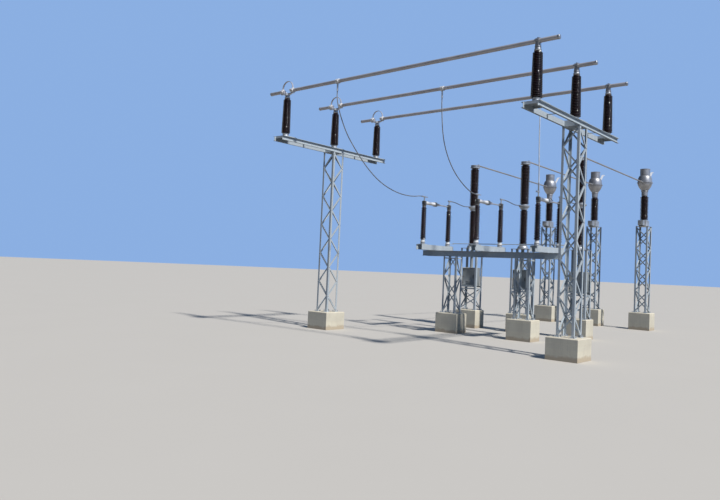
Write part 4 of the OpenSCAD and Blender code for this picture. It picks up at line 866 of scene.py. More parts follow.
def latticeBolts(name, s):
    width, depth = frameWidths(name, s)
    halfX, halfY = (width - s["leg"]) / 2, (depth - s["leg"]) / 2
    base = lowestOf(name + "_bracing")
    height = s.get("height", sizeOf(name + "_bracing").z)
    places = []
    for i in range(s["bars"] + 1):
        level = base + min(max(i * height / s["bars"], barEndMargin), height - barEndMargin)
        side = 1 if i % 2 == 0 else -1
        for x, y in s["places"]:
            for way in (-1, 1):
                places.append(outwards((x + way * side * halfX, y + way * depth / 2, level), (0, way, 0)))
                places.append(outwards((x + way * width / 2, y + way * side * halfY, level), (way, 0, 0)))
    fasten(name + "_bracing_bolts", boltUnit(s["size"], s["grip"]), places)


def footAnchors(name, s):
    width, depth = frameWidths(name, s)
    places = []
    for x, y in s["places"]:
        for foot in corners((x, y, lowestOf(name + "_legs")), (width - s["leg"]) / 2, (depth - s["leg"]) / 2):
            places += corners(foot.translation, anchors["offset"], anchors["offset"])
    fasten(name + "_anchors", anchorUnit(anchors), places)


for frameName, frameSizes in frames.items():
    latticeBolts(frameName, frameSizes)
    footAnchors(frameName, frameSizes)
print("lattice bolts made")


# Crossbeams and busbar fittings

beam = {"seatPlate": 0.012, "seatLength": 0.50, "flangeBolt": 0.225, "plateBolt": 0.20, "angleBolt": 0.12,
        "angleInset": 0.03, "strut": 1.30, "cleatBolt": 0.032, "webOuter": 0.198, "flange": 0.008}
seatTop = highestOf("crossbeam_cross_members")
beamBottom = lowestOf("crossbeam_channels")
beamMiddle = centreOf("crossbeam_channels").z


def beamBolts(s):
    seats = [(x, y) for x in columnX for y in phaseY]
    places = []
    for x, y in seats:
        places += corners((x, y, seatTop), s["flangeBolt"], s["plateBolt"])
        places += corners((x, y, seatTop), s["angleBolt"], s["seatLength"] / 2 - s["angleInset"])
    for x in columnX:
        places += corners((x, 0, beamBottom - s["seatPlate"]), s["flangeBolt"], s["plateBolt"], (0, 0, -1))
    fasten("seat_plate_bolts", boltUnit("m16", s["seatPlate"] + s["flange"]), places)
    webPlaces = []
    for x in columnX:
        for y in (-s["strut"], s["strut"]):
            for way in (-1, 1):
                for level in (-s["cleatBolt"], s["cleatBolt"]):
                    webPlaces.append(outwards((x + way * s["webOuter"], y, beamMiddle + level), (way, 0, 0)))
    fasten("strut_bolts", boltUnit("m16", 2 * s["flange"]), webPlaces)


postFitting = {"flange": 0.018, "flangeR": 0.124, "bodyR": 0.106, "topR": 0.100, "foot": 0.110, "cap": 0.100,
               "ringR": 0.088, "neckR": 0.069, "upperR": 0.082, "boltCircle": 0.113, "capCircle": 0.064,
               "saddle": 0.016}
clampEar = {"alongTube": 0.038, "fromTube": 0.092, "half": 0.013, "forkEnd": 0.060}


def postFittings(s):
    # a flanged foot, and a cap of two swelling rings with a groove between them
    foot = eased([
        (0, 0), (s["flangeR"], 0), (s["flangeR"], s["flange"]), (s["bodyR"], s["flange"] + 0.006),
        (s["topR"] - 0.004, s["foot"] - 0.024), (s["topR"], s["foot"] - 0.020), (s["topR"], s["foot"]),
        (0, s["foot"])], 0.003)
    cap = [(0, 0), *bulge(s["ringR"] - 0.014, s["ringR"], 0, 0.057), (s["neckR"], 0.063), (s["neckR"], 0.080),
           *bulge(s["upperR"] - 0.010, s["upperR"], 0.083, s["cap"]), (0, s["cap"])]
    seats = [(x, y) for x in columnX for y in phaseY]
    low = lowestOf("post_insulator_fittings")
    high = highestOf("post_insulator_fittings") - s["cap"]
    turnedPiece("post_feet", foot, [Matrix.Translation((x, y, low)) for x, y in seats], aluminium,
                ["post_insulator_fittings"])
    turnedPiece("post_caps", cap, [Matrix.Translation((x, y, high)) for x, y in seats], clampMetal)


def postBolts(s):
    foot = lowestOf("post_insulator_fittings")
    top = highestOf("post_insulator_fittings")
    below, above = [], []
    for x in columnX:
        for y in phaseY:
            below += ringOf((x, y, foot + s["flange"]), s["boltCircle"], 8, first=math.pi / 8)
            above += ringOf((x, y, top + s["saddle"]), s["capCircle"], 4, first=math.pi / 4)
    fasten("post_flange_bolts", boltUnit("m12", s["flange"] + beam["seatPlate"]), below)
    fasten("post_cap_bolts", boltUnit("m12"), above)


def clampBolts(s):
    reach = sizeOf("expansion_clamps").x / 2 - s["forkEnd"]
    tubePlaces = [(columnX[0], y) for y in phaseY]
    tubePlaces += [(columnX[1] + way * reach, y) for y in phaseY for way in (-1, 1)]
    tubePlaces += [(route[0][0], route[0][1]) for route in (nearDropperRoute, middleDropperRoute, farDropperRoute)]
    places = []
    for x, y in tubePlaces:
        places += corners((x, y, tubeZ + s["half"]), s["alongTube"], s["fromTube"])
    fasten("tube_clamp_bolts", boltUnit("m12", 2 * s["half"]), places)


dropperLug = {"halfThick": 0.008, "boltY": 0.017, "below": 0.100}


def lugBolts(s):
    places = []
    for route in (nearDropperRoute, middleDropperRoute, farDropperRoute):
        for way in (-1, 1):
            place = (route[0][0] + s["halfThick"], route[0][1] + way * s["boltY"], tubeZ - s["below"])
            places.append(outwards(place, (1, 0, 0)))
    fasten("dropper_lug_bolts", boltUnit("m12", 2 * s["halfThick"]), places)


beamBolts(beam)
postFittings(postFitting)
postBolts(postFitting)
clampBolts(clampEar)
lugBolts(dropperLug)
print("busbar fittings made")


# Turning parts of the disconnector, modelled piece by piece around the post's axis

rotor = {
    "baseR": 0.090, "basePlate": 0.020, "fittingR": 0.070, "ring": 0.082, "capR": 0.070, "capHeight": 0.050,
    "headWidth": 0.124, "headHeight": 0.130, "headBevel": 0.012, "gap": 0.001}
nearTube = {"radius": 0.060, "start": 0.140, "end": 0.615, "collar": 0.072, "collarLength": 0.030}
armClamp = {"radius": 0.066, "start": 0.050, "length": 0.080, "spigotR": 0.048, "bolt": 0.022}
contactBox = {"width": 0.112, "start": 0.610, "end": 0.744, "height": 0.154, "bevel": 0.012}
fingers = {"count": 5, "width": 0.016, "pitch": 0.022, "start": 0.739, "length": 0.160, "gap": 0.018,
           "thick": 0.022, "springR": 0.006, "springAt": 0.060}
farTube = {"radius": 0.023, "start": 0.042, "end": 0.680, "collar": 0.031, "collarLength": 0.060}
seatBolts = {"plateCorner": 0.100, "plate": 0.020, "flangeCircle": 0.083, "flange": 0.025, "channelX": 0.095,
             "channelY": 0.167, "flangePair": 0.016}
blade = {"width": 0.060, "thick": 0.020, "start": 0.620, "end": 0.820}
crank = {"reach": 0.220, "width": 0.050, "thick": 0.012, "pin": 0.020, "pinTop": 0.050, "angle": 45}
bearingTop = highestOf("bearing_housings")
headTop = highestOf("near_arm_1")
headBase = headTop - rotor["headHeight"]
armZ = headTop - rotor["headHeight"] / 2
rotorFoot = bearingTop + rotor["gap"]
rotorPorcelain = [lowestOf("near_post_1"), highestOf("near_post_1")]


def rotorBase(s):
    height = rotorPorcelain[0] - rotorFoot
    return spun([
        (0, 0), (s["baseR"] - 0.003, 0), (s["baseR"], 0.003), (s["baseR"], s["basePlate"] - 0.004),
        (s["baseR"] - 0.004, s["basePlate"]), (s["ring"], s["basePlate"] + 0.002), (s["fittingR"] + 0.002, 0.036),
        (s["fittingR"], 0.044), (s["fittingR"], height - 0.006), (s["fittingR"] - 0.005, height), (0, height)], 48)


def rotorCap(s):
    height = s["capHeight"]
    return spun([
        (0, 0), (s["capR"] - 0.003, 0), (s["capR"], 0.004), (s["capR"], height - 0.018),
        (s["capR"] + 0.008, height - 0.013), (s["capR"] + 0.010, height - 0.009), (s["capR"] + 0.010, height - 0.003),
        (s["capR"] + 0.007, height), (0, height)], 48)


def rotorHead(s):
    shape = bmesh.new()
    half = s["headWidth"] / 2
    addBox(shape, (-half, -half, 0), (half, half, s["headHeight"]))
    bevelAll(shape, s["headBevel"], 2)
    bmesh.ops.create_cone(shape, cap_ends=True, segments=32, radius1=0.036, radius2=0.036, depth=0.006,
                          matrix=Matrix.Translation((0, 0, s["headHeight"] - 0.003)))
    return shape


def armTube(s, steps=32):
    # a tube along +Y with a collar at its outer end
    length = s["end"] - s["start"]
    collarFoot = length - s["collarLength"]
    shape = spun([
        (0, 0), (s["radius"], 0), (s["radius"], collarFoot), (s["collar"] - 0.003, collarFoot + 0.001),
        (s["collar"], collarFoot + 0.004), (s["collar"], length - 0.004), (s["collar"] - 0.003, length), (0, length)],
        steps)
    place = Matrix.Translation((0, s["start"], armZ)) @ Matrix.Rotation(math.radians(-90), 4, "X")
    bmesh.ops.transform(shape, matrix=place, verts=shape.verts)
    return shape


def armRoot(s):
    # the clamp on the head, with the thinner spigot that carries the arm
    end = s["length"]
    shape = spun(eased([
        (0, 0), (s["radius"], 0), (s["radius"], end), (s["spigotR"], end), (s["spigotR"], end + 0.02),
        (0, end + 0.02)], 0.004), 40)
    place = Matrix.Translation((0, s["start"], armZ)) @ Matrix.Rotation(math.radians(-90), 4, "X")
    bmesh.ops.transform(shape, matrix=place, verts=shape.verts)
    return shape


def contactHousing(s):
    shape = bmesh.new()
    addBox(shape, (-s["width"] / 2, s["start"], armZ - s["height"] / 2),
           (s["width"] / 2, s["end"], armZ + s["height"] / 2))
    bevelAll(shape, s["bevel"], 2)
    return shape


def contactFingers(s):
    # two rows of sprung bars that bend towards the blade and open out at their tips
    shape = bmesh.new()
    end = s["start"] + s["length"]
    for i in range(s["count"]):
        x = (i - (s["count"] - 1) / 2) * s["pitch"]
        for way in (-1, 1):
            side = [
                (s["start"], s["gap"]), (end - 0.050, s["gap"]), (end - 0.036, s["gap"] - 0.003),
                (end - 0.024, s["gap"] - 0.003), (end, s["gap"] + 0.012), (end, s["gap"] + s["thick"]),
                (end - 0.040, s["gap"] + s["thick"] - 0.003), (s["start"], s["gap"] + s["thick"])]
            verts = [shape.verts.new((x - s["width"] / 2, y, armZ + way * z)) for y, z in side]
            face = shape.faces.new(verts)
            grown = bmesh.ops.extrude_face_region(shape, geom=[face])["geom"]
            moved = [part for part in grown if isinstance(part, bmesh.types.BMVert)]
            bmesh.ops.translate(shape, verts=moved, vec=(s["width"], 0, 0))
    for way in (-1, 1):
        across = Matrix.Translation((0, s["start"] + s["springAt"], armZ + way * (s["gap"] + s["thick"] + 0.004)))
        bmesh.ops.create_cone(
            shape, cap_ends=True, segments=12, radius1=s["springR"], radius2=s["springR"],
            depth=s["count"] * s["pitch"], matrix=across @ Matrix.Rotation(math.radians(90), 4, "Y"))
    return shape


def contactBlade(s):
    shape = bmesh.new()
    half = s["width"] / 2
    addBox(shape, (-half, s["start"], armZ - s["thick"] / 2), (half, s["end"] - half, armZ + s["thick"] / 2))
    tip = Matrix.Translation((0, s["end"] - half, armZ))
    bmesh.ops.create_cone(shape, cap_ends=True, segments=32, radius1=half, radius2=half, depth=s["thick"], matrix=tip)
    return shape


def crankArm(s):
    # the crank points from the post towards the coupling rod's eye
    shape = bmesh.new()
    half = s["width"] / 2
    addBox(shape, (-half, rotor["baseR"] - 0.01, 0), (half, s["reach"], s["thick"]))
    bmesh.ops.create_cone(shape, cap_ends=True, segments=24, radius1=half, radius2=half, depth=s["thick"],
                          matrix=Matrix.Translation((0, s["reach"], s["thick"] / 2)))
    bmesh.ops.create_cone(shape, cap_ends=True, segments=20, radius1=s["pin"] / 2, radius2=s["pin"] / 2,
                          depth=s["pinTop"], matrix=Matrix.Translation((0, s["reach"], s["pinTop"] / 2)))
    bmesh.ops.transform(shape, matrix=Matrix.Rotation(math.radians(-s["angle"]), 4, "Z"), verts=shape.verts)
    return shape


def putAt(shape, place):
    bmesh.ops.transform(shape, matrix=place, verts=shape.verts)
    return shape


def dressRotor(side, i, x, y):
    body = "%s_rotor_%d" % (side, i)
    tail = "_%s_%d" % (side, i)
    facing = Matrix.Translation((x, y, 0)) @ Matrix.Rotation(0 if side == "near" else math.pi, 4, "Z")
    foot = Matrix.Translation((x, y, rotorFoot))
    finishPiece("turning_base" + tail, putAt(rotorBase(rotor), foot), body, bearingPaint,
                ["%s_arm_%d" % (side, i)])
    cap = Matrix.Translation((x, y, rotorPorcelain[1]))
    finishPiece("post_cap" + tail, putAt(rotorCap(rotor), cap), body, darkCasting)
    head = Matrix.Translation((x, y, headBase))
    finishPiece("arm_head" + tail, putAt(rotorHead(rotor), head), body, darkCasting)
    boltPlaces = ringOf((x, y, rotorFoot + rotor["basePlate"]), 0.080, 6)
    for level in (-0.035, 0.035):
        for way in (-1, 1):
            boltPlaces.append(outwards((x + way * rotor["headWidth"] / 2, y, armZ + level), (way, 0, 0)))
    fasten("head_bolts" + tail, boltUnit("m8"), boltPlaces, body)
    if side == "near":
        # the arm clamp's near-white colour is a painted highlight
        finishPiece("arm_clamp" + tail, putAt(armRoot(armClamp), facing), body, clampPaintedHighlight)
        # the near arm's pale colour is painted glare
        finishPiece("contact_arm" + tail, putAt(armTube(nearTube, 40), facing), body, armPaintedGlare)
        finishPiece("contact_housing" + tail, putAt(contactHousing(contactBox), facing), body, darkHousing)
        finishPiece("contact_fingers" + tail, putAt(contactFingers(fingers), facing), body, contactMetal)
    else:
        finishPiece("blade_arm" + tail, putAt(armTube(farTube), facing), body, tubeArm)
        finishPiece("contact_blade" + tail, putAt(contactBlade(blade), facing), body, contactMetal)
        finishPiece("crank" + tail, putAt(crankArm(crank), foot), body, steel)


def seatFasteners(s):
    # the bearings' plates and flanges, and the channels that stand on the long table
    tableTop = highestOf("table_channels")
    plateTop = lowestOf("bearing_housings")
    plates, flanges, channels = [], [], []
    for x in poleX:
        for y in (nearY, farY):
            plates += corners((x, y, plateTop), s["plateCorner"], s["plateCorner"])
            flanges += ringOf((x, y, plateTop + s["flange"]), s["flangeCircle"], 8, first=math.pi / 8)
        channels += corners((x, middleY, tableTop + s["flangePair"] / 2), s["channelX"], s["channelY"])
    fasten("bearing_plate_bolts", boltUnit("m12", s["plate"]), plates)
    fasten("bearing_flange_bolts", boltUnit("m8"), flanges)
    fasten("table_bolts", boltUnit("m16", s["flangePair"]), channels)


for i, x in enumerate(poleX, 1):
    dressRotor("near", i, x, nearY)
    dressRotor("far", i, x, farY)
seatFasteners(seatBolts)
print("disconnector dressed")


# Circuit breaker: the bolts of its fittings, and the cabinets with doors, hinges and handles

breakerFlange = {"baseTop": 0.024, "baseCircle": 0.212, "collar": 0.160, "collarCircle": 0.126, "disc": 0.1545,
                 "discCircle": 0.183, "discGrip": 0.056, "flange": 0.040, "flangeCircle": 0.167, "lidCircle": 0.070,
                 "lugX": 0.036, "lugY": 0.215, "lugTop": 0.009, "clampForward": 0.270, "clampBolt": 0.026,
                 "clampRise": 0.073}
breakerFrameTop = highestOf("breaker_bases") - breakerFlange["collar"]
breakerMiddle = breakerLowZ + breakerPosts["lowHeight"]
breakerUpper = highestOf("breaker_insulators")
breakerTop = breakerUpper + 0.120
leadZ = leadRoute[-1][1]


def breakerBolts(s):
    housing, collar, disc, flange, lid, lug, clamp = [], [], [], [], [], [], []
    for x in poleX:
        housing += ringOf((x, breakerY, breakerFrameTop + s["baseTop"]), s["baseCircle"], 12)
        collar += ringOf((x, breakerY, breakerLowZ), s["collarCircle"], 8)
        disc += ringOf((x, breakerY, breakerMiddle + s["disc"]), s["discCircle"], 12, first=math.pi / 12)
        flange += ringOf((x, breakerY, breakerUpper + s["flange"]), s["flangeCircle"], 12)
        lid += ringOf((x, breakerY, breakerTop), s["lidCircle"], 4, first=math.pi / 4)
        lug += corners((x, breakerY - s["lugY"], leadZ + s["lugTop"]), s["lugX"], 0.012)
        clamp += [outwards((x, breakerY + s["clampForward"] + way * s["clampBolt"], breakerTop + s["clampRise"]),
                           (0, 0, 1)) for way in (-1, 1)]
    fasten("gear_housing_bolts", boltUnit("m8"), housing)
    fasten("support_foot_bolts", boltUnit("m12"), collar)
    fasten("mid_flange_bolts", boltUnit("m12", s["discGrip"]), disc)
    fasten("top_flange_bolts", boltUnit("m12"), flange)
    fasten("top_lid_bolts", boltUnit("m12"), lid)
    fasten("lead_lug_bolts", boltUnit("m8", 2 * s["lugTop"]), lug)
    fasten("link_clamp_bolts", boltUnit("m12"), clamp)


cabinet = {"width": 0.600, "depth": 0.360, "height": 0.720, "base": 1.650, "doorEdge": 0.028, "door": 0.008,
           "roof": 0.022, "roofLip": 0.011, "roofEaves": 0.022, "bevel": 0.005, "seam": 0.006, "hinges": 3,
           "hingeR": 0.008, "hingeLength": 0.070, "handle": (0.022, 0.026, 0.120), "handleX": 0.225,
           "louvres": 6, "louvrePitch": 0.022, "louvreWidth": 0.200, "tubeR": 0.060, "tubeFlange": 0.082}


def cabinetBody(s):
    shape = bmesh.new()
    halfX, halfY = s["width"] / 2, s["depth"] / 2
    addBox(shape, (-halfX, -halfY, 0), (halfX, halfY, s["height"] - s["roof"] / 2))
    bevelAll(shape, s["bevel"], 2)
    # a shallow pitched roof whose eaves overhang the doors
    eaves = addBox(shape, (-halfX - s["roofLip"], -halfY - s["roofEaves"], s["height"] - s["roof"]),
                   (halfX + s["roofLip"], halfY + s["roofEaves"], s["height"]))
    for vert in eaves:
        if vert.co.z > s["height"] - s["roof"] / 2:
            vert.co.x *= 0.94
            vert.co.y *= 0.80
    return shape


def cabinetDoor(s):
    # one door panel with a folded rim, and louvres low on it, on the side of -Y
    shape = bmesh.new()
    halfX, front = s["width"] / 2 - s["doorEdge"], -s["depth"] / 2
    low, high = s["doorEdge"], s["height"] - s["doorEdge"] - s["roof"] / 3
    addBox(shape, (-halfX, front - s["door"], low), (halfX, front + 0.002, high))
    front -= s["door"]
    faces = [face for face in shape.faces if face.calc_center_median().y < front + 0.001]
    bmesh.ops.inset_region(shape, faces=faces, thickness=0.022, depth=0)
    bmesh.ops.inset_region(shape, faces=faces, thickness=s["seam"], depth=-0.003)
    for k in range(s["louvres"]):
        level = low + 0.06 + k * s["louvrePitch"]
        slat = addBox(shape, (-s["louvreWidth"] / 2, front - 0.004, level),
                      (s["louvreWidth"] / 2, front + 0.004, level + 0.012))
        for vert in slat:
            if vert.co.z > level + 0.006 and vert.co.y < front:
                vert.co.y = front + 0.002
    return shape


def cabinetHardware(s):
    # hinges on the left of the door, a swing handle on its right
    shape = bmesh.new()
    halfX, front = s["width"] / 2 - s["doorEdge"], -s["depth"] / 2 - s["door"]
    for k in range(s["hinges"]):
        level = s["height"] * (0.16 + 0.34 * k)
        bmesh.ops.create_cone(shape, cap_ends=True, segments=16, radius1=s["hingeR"], radius2=s["hingeR"],
                              depth=s["hingeLength"], matrix=Matrix.Translation((-halfX - 0.004, front, level)))
        addBox(shape, (-halfX, front - 0.003, level - 0.02), (-halfX + 0.035, front + 0.002, level + 0.02))
    wide, deep, tall = s["handle"]
    middle = s["height"] * 0.5
    grip = addBox(shape, (s["handleX"] - wide / 2, front - deep, middle - tall / 2),
                  (s["handleX"] + wide / 2, front - deep + 0.010, middle + tall / 2))
    edges = list({edge for vert in grip for edge in vert.link_edges})
    bmesh.ops.bevel(shape, geom=edges, offset=0.003, segments=2, profile=0.5, affect="EDGES", material=-1)
    for way in (-1, 1):
        addBox(shape, (s["handleX"] - wide / 2 + 0.002, front - deep + 0.008, middle + way * tall * 0.42 - 0.008),
               (s["handleX"] + wide / 2 - 0.002, front + 0.002, middle + way * tall * 0.42 + 0.008))
    return shape


def dressCabinets(s):
    places = [Matrix.Translation((x, breakerY, s["base"])) for x in poleX]
    sides = [place @ Matrix.Rotation(turn, 4, "Z") for place in places for turn in (0, math.pi)]
    for name, maker, spots, finish, slot, replaced in (
            ("mechanism_cabinets", cabinetBody, places, cabinetPaint, "cabinet_paint", ["breaker_cabinets"]),
            ("cabinet_doors", cabinetDoor, sides, cabinetPaint, "cabinet_paint", []),
            ("cabinet_hardware", cabinetHardware, sides, darkHousing, "cabinet_paint", [])):
        shape = bmesh.new()
        repeatAt(shape, asMesh(maker(s)), spots)
        finishPiece(name, shape, fixed, finish, replaced)
    roofTop = s["base"] + s["height"]
    length = breakerFrameTop - 0.012 - roofTop + 0.001
    tube = eased([
        (0, -0.010), (s["tubeFlange"], -0.010), (s["tubeFlange"], 0.012), (s["tubeR"], 0.013),
        (s["tubeR"], length - 0.013), (s["tubeFlange"], length - 0.012), (s["tubeFlange"], length), (0, length)], 0.002)
    turnedPiece("drive_rod_tubes", tube, [Matrix.Translation((x, breakerY, roofTop)) for x in poleX],
                cabinetPaint)
    ring = [place for x in poleX for place in ringOf((x, breakerY, roofTop + 0.012), 0.071, 6)]
    fasten("drive_tube_bolts", boltUnit("m8"), ring)


breakerBolts(breakerFlange)
dressCabinets(cabinet)
print("circuit breaker dressed")


# Current transformers: spun heads with a split rim, the horn terminals and the sockets of the link tubes

ctHead = {"collarR": 0.150, "neckR": 0.130, "neck": 0.220, "cone": 0.320, "rimR": 0.325, "wallR": 0.301,
          "rim": 0.550, "rimHeight": 0.034, "topR": 0.205, "dome": 0.296, "height": 1.190, "lipR": 0.213,
          "rimBolts": 16, "rimCircle": 0.3135, "lidBolts": 12, "lidCircle": 0.2, "lid": 0.014}
ctHorn = {"width": 0.090, "thick": 0.020, "out": 0.339, "reach": 0.560, "bendR": 0.040, "steps": 6,
          "padLength": 0.150, "holeR": 0.007, "holeGap": 0.020, "bolt": 0.027}
linkSocket = {"y": -0.525, "outerR": 0.043, "boreR": 0.029, "depth": 0.070, "floor": 0.025, "armR": 0.030,
              "reach": 0.320, "clampZ": 0.030}
headBaseZ = lowestOf("ct_heads")
terminalZ = headBaseZ + ctHead["rim"] + ctHead["rimHeight"] / 2


def headProfile(s):
    cone = []
    for k in range(16):
        a = math.radians(6 * k)
        cone.append((s["neckR"] + (s["wallR"] - s["neckR"]) * math.sin(a),
                     s["neck"] + s["cone"] * (0.45 * (1 - math.cos(a)) + 0.55 * math.sin(a))))
    high = s["rim"] + s["rimHeight"]
    dome = []
    for k in range(16):
        a = math.radians(6 * k)
        dome.append((s["topR"] + (s["wallR"] - s["topR"]) * math.cos(a), high + s["dome"] * math.sin(a)))
    middle = (s["rim"] + high) / 2
    lidZ = s["height"] - s["lid"]
    return [
        (0, 0), (s["neckR"] - 0.002, 0), (s["neckR"], 0.002), (s["neckR"], s["neck"] - 0.052),
        *bulge(s["collarR"] - 0.012, s["collarR"], s["neck"] - 0.048, s["neck"] - 0.010, 6),
        (s["neckR"], s["neck"] - 0.004), *cone, (s["rimR"] - 0.003, s["rim"] - 0.001), (s["rimR"], s["rim"] + 0.003),
        (s["rimR"], middle - 0.002), (s["rimR"] - 0.006, middle - 0.001), (s["rimR"] - 0.006, middle + 0.001),
        (s["rimR"], middle + 0.002), (s["rimR"], high - 0.003), (s["rimR"] - 0.003, high),
        *dome, (s["topR"], s["height"] - 0.038), (s["lipR"] - 0.002, s["height"] - 0.032),
        (s["lipR"], s["height"] - 0.028), (s["lipR"], lidZ - 0.002), (s["lipR"] - 0.002, lidZ),
        (0.186, lidZ), (0.182, lidZ + 0.004), (0.170, lidZ + 0.008), (0.10, lidZ + 0.012), (0, lidZ + 0.014)]


def hornStrap(s):
    # a flat bar bolted to the block on the rim leans away and is bent level for its pad
    shape = bmesh.new()
    width, thick = s["width"], s["thick"]
    low, padZ = terminalZ - width / 2, highestOf("ct_heads") - 0.030
    addBox(shape, (-width / 2, ctHead["topR"], low), (width / 2, s["out"] - thick / 2, low + width))
    bevelAll(shape, 0.004, 2)
    bend = Vector((0, s["out"], low + width))
    tip = Vector((0, s["out"] + s["reach"], padZ))
    lean = math.atan2(tip.y - bend.y, tip.z - bend.z)
    lowTrim, highTrim = s["bendR"] * math.tan(lean / 2), s["bendR"] * math.tan(math.pi / 4 - lean / 2)
    foot = bmesh.ops.create_grid(shape, x_segments=1, y_segments=1, size=0.5, matrix=Matrix.Translation(
        (0, s["out"], low)) @ Matrix.Diagonal((width, thick, 1, 1)))["verts"]
    face = foot[0].link_faces[0]

    def grow(face, move):
        grown = bmesh.ops.extrude_face_region(shape, geom=[face])["geom"]
        bmesh.ops.translate(shape, verts=[part for part in grown if isinstance(part, bmesh.types.BMVert)], vec=move)
        return next(part for part in grown if isinstance(part, bmesh.types.BMFace))

    def turn(face, centre, angle):
        last = bmesh.ops.spin(shape, geom=[face, *face.edges, *face.verts], cent=centre, axis=(1, 0, 0),
                              angle=-angle, steps=s["steps"])["geom_last"]
        return next(part for part in last if isinstance(part, bmesh.types.BMFace))

    along = (tip - bend).normalized()
    face = grow(face, (0, 0, width - lowTrim))
    face = turn(face, (0, bend.y + s["bendR"], bend.z - lowTrim), lean)
    face = grow(face, along * ((tip - bend).length - lowTrim - highTrim))
    start = tip - along * highTrim
    inward = Vector((0, along.z, -along.y))
    face = turn(face, start + inward * s["bendR"], math.pi / 2 - lean)
    inside = [part for part in shape.faces if all(len(edge.link_faces) > 2 for edge in part.edges)]
    bmesh.ops.delete(shape, geom=inside, context="FACES_ONLY")
    return shape


def hornPad(s):
    # four cells around four holes, bridged to them and then given the bar's thickness
    shape = bmesh.new()
    halfX, halfY = s["width"] / 2, s["padLength"] / 2
    for i in (-1, 1):
        for j in (-1, 1):
            cell = bmesh.ops.create_grid(shape, x_segments=1, y_segments=1, size=0.5, matrix=Matrix.Translation(
                (i * halfX / 2, j * halfY / 2, 0)) @ Matrix.Diagonal((halfX, halfY, 1, 1)))["verts"]
            face = cell[0].link_faces[0]
            rim = face.edges[:]
            bmesh.ops.delete(shape, geom=[face], context="FACES_ONLY")
            cut = bmesh.ops.subdivide_edges(shape, edges=rim, cuts=3)["geom_inner"]
            cell = set(cell) | {part for part in cut if isinstance(part, bmesh.types.BMVert)}
            rim = [edge for edge in shape.edges if edge.verts[0] in cell and edge.verts[1] in cell]
            hole = bmesh.ops.create_circle(shape, segments=16, radius=s["holeR"], matrix=Matrix.Translation(
                (i * s["holeGap"], j * s["holeGap"], 0)))["verts"]
            ring = list({edge for vert in hole for edge in vert.link_edges})
            bmesh.ops.bridge_loops(shape, edges=rim + ring)
    bmesh.ops.remove_doubles(shape, verts=shape.verts, dist=1e-5)
    bmesh.ops.recalc_face_normals(shape, faces=shape.faces)
    grown = bmesh.ops.extrude_face_region(shape, geom=shape.faces[:])["geom"]
    moved = [part for part in grown if isinstance(part, bmesh.types.BMVert)]
    bmesh.ops.translate(shape, verts=moved, vec=(0, 0, s["thick"]))
    return shape


def dressTransformers(s):
    bases = [Matrix.Translation((x, ctY, headBaseZ)) for x in poleX]
    turnedPiece("transformer_heads", headProfile(s), bases, spunAluminium, ["ct_heads"], steps=64)
    rimTop = headBaseZ + s["rim"] + s["rimHeight"]
    lidTop = headBaseZ + s["height"] - s["lid"]
    rim, lid, hornBolts = [], [], []
    for x in poleX:
        rim += ringOf((x, ctY, rimTop), s["rimCircle"], s["rimBolts"], first=math.pi / s["rimBolts"])
        lid += ringOf((x, ctY, lidTop), s["lidCircle"], s["lidBolts"])
        for place in corners((x, ctY + ctHorn["out"] + ctHorn["thick"] / 2, terminalZ), ctHorn["bolt"], 0):
            for way in (-1, 1):
                lift = Matrix.Translation((0, 0, way * ctHorn["bolt"]))
                hornBolts.append(outwards(lift @ place.translation, (0, 1, 0)))
    fasten("head_rim_bolts", boltUnit("m8", s["rimHeight"]), rim)
    fasten("head_lid_bolts", boltUnit("m8"), lid)
    fasten("horn_bolts", boltUnit("m12"), hornBolts)
    padY = ctHorn["out"] + ctHorn["reach"] + ctHorn["padLength"] / 2
    padPlace = (0, padY, highestOf("ct_heads") - 0.030 - ctHorn["thick"] / 2)
    for name, shape, offset in (("horn_straps", hornStrap(ctHorn), (0, 0, 0)),
                                ("horn_pads", hornPad(ctHorn), padPlace)):
        whole = bmesh.new()
        repeatAt(whole, asMesh(shape), [Matrix.Translation(Vector((x, ctY, 0)) + Vector(offset)) for x in poleX])
        finishPiece(name, whole, fixed, armPaintedGlare)


def linkSockets(s):
    profile = eased([
        (0, s["depth"]), (s["boreR"], s["depth"]), (s["boreR"], 0), (s["outerR"], 0),
        (s["outerR"], s["depth"] + s["floor"]), (s["armR"], s["depth"] + s["floor"] + 0.006),
        (s["armR"], s["reach"]), (0, s["reach"])], 0.003)
    start = Vector((0, breakerY + breakerFlange["clampForward"], breakerTop + s["clampZ"]))
    end = Vector((0, ctY + s["y"], terminalZ))
    places = [outwards(end + Vector((x, 0, 0)), end - start) for x in poleX]
    turnedPiece("link_sockets", profile, places, aluminium, steps=40)
    screws = []
    for x in poleX:
        for along in (0.020, 0.050):
            for way in (-1, 1):
                spot = end + (end - start).normalized() * along + Vector((x + way * s["outerR"], 0, 0))
                screws.append(outwards(spot, (way, 0, 0)))
    fasten("link_socket_screws", boltUnit("m8"), screws)


ctBox = {"collar": 0.280, "collarCircle": 0.128, "plateBolt": 0.222, "plate": 0.012, "half": 0.180,
         "box": (0.220, 0.280, 0.220), "lift": 0.030, "cover": 0.006, "coverEdge": 0.010, "screwInset": 0.024,
         "glands": (-0.060, 0.0, 0.060), "glandR": 0.018}


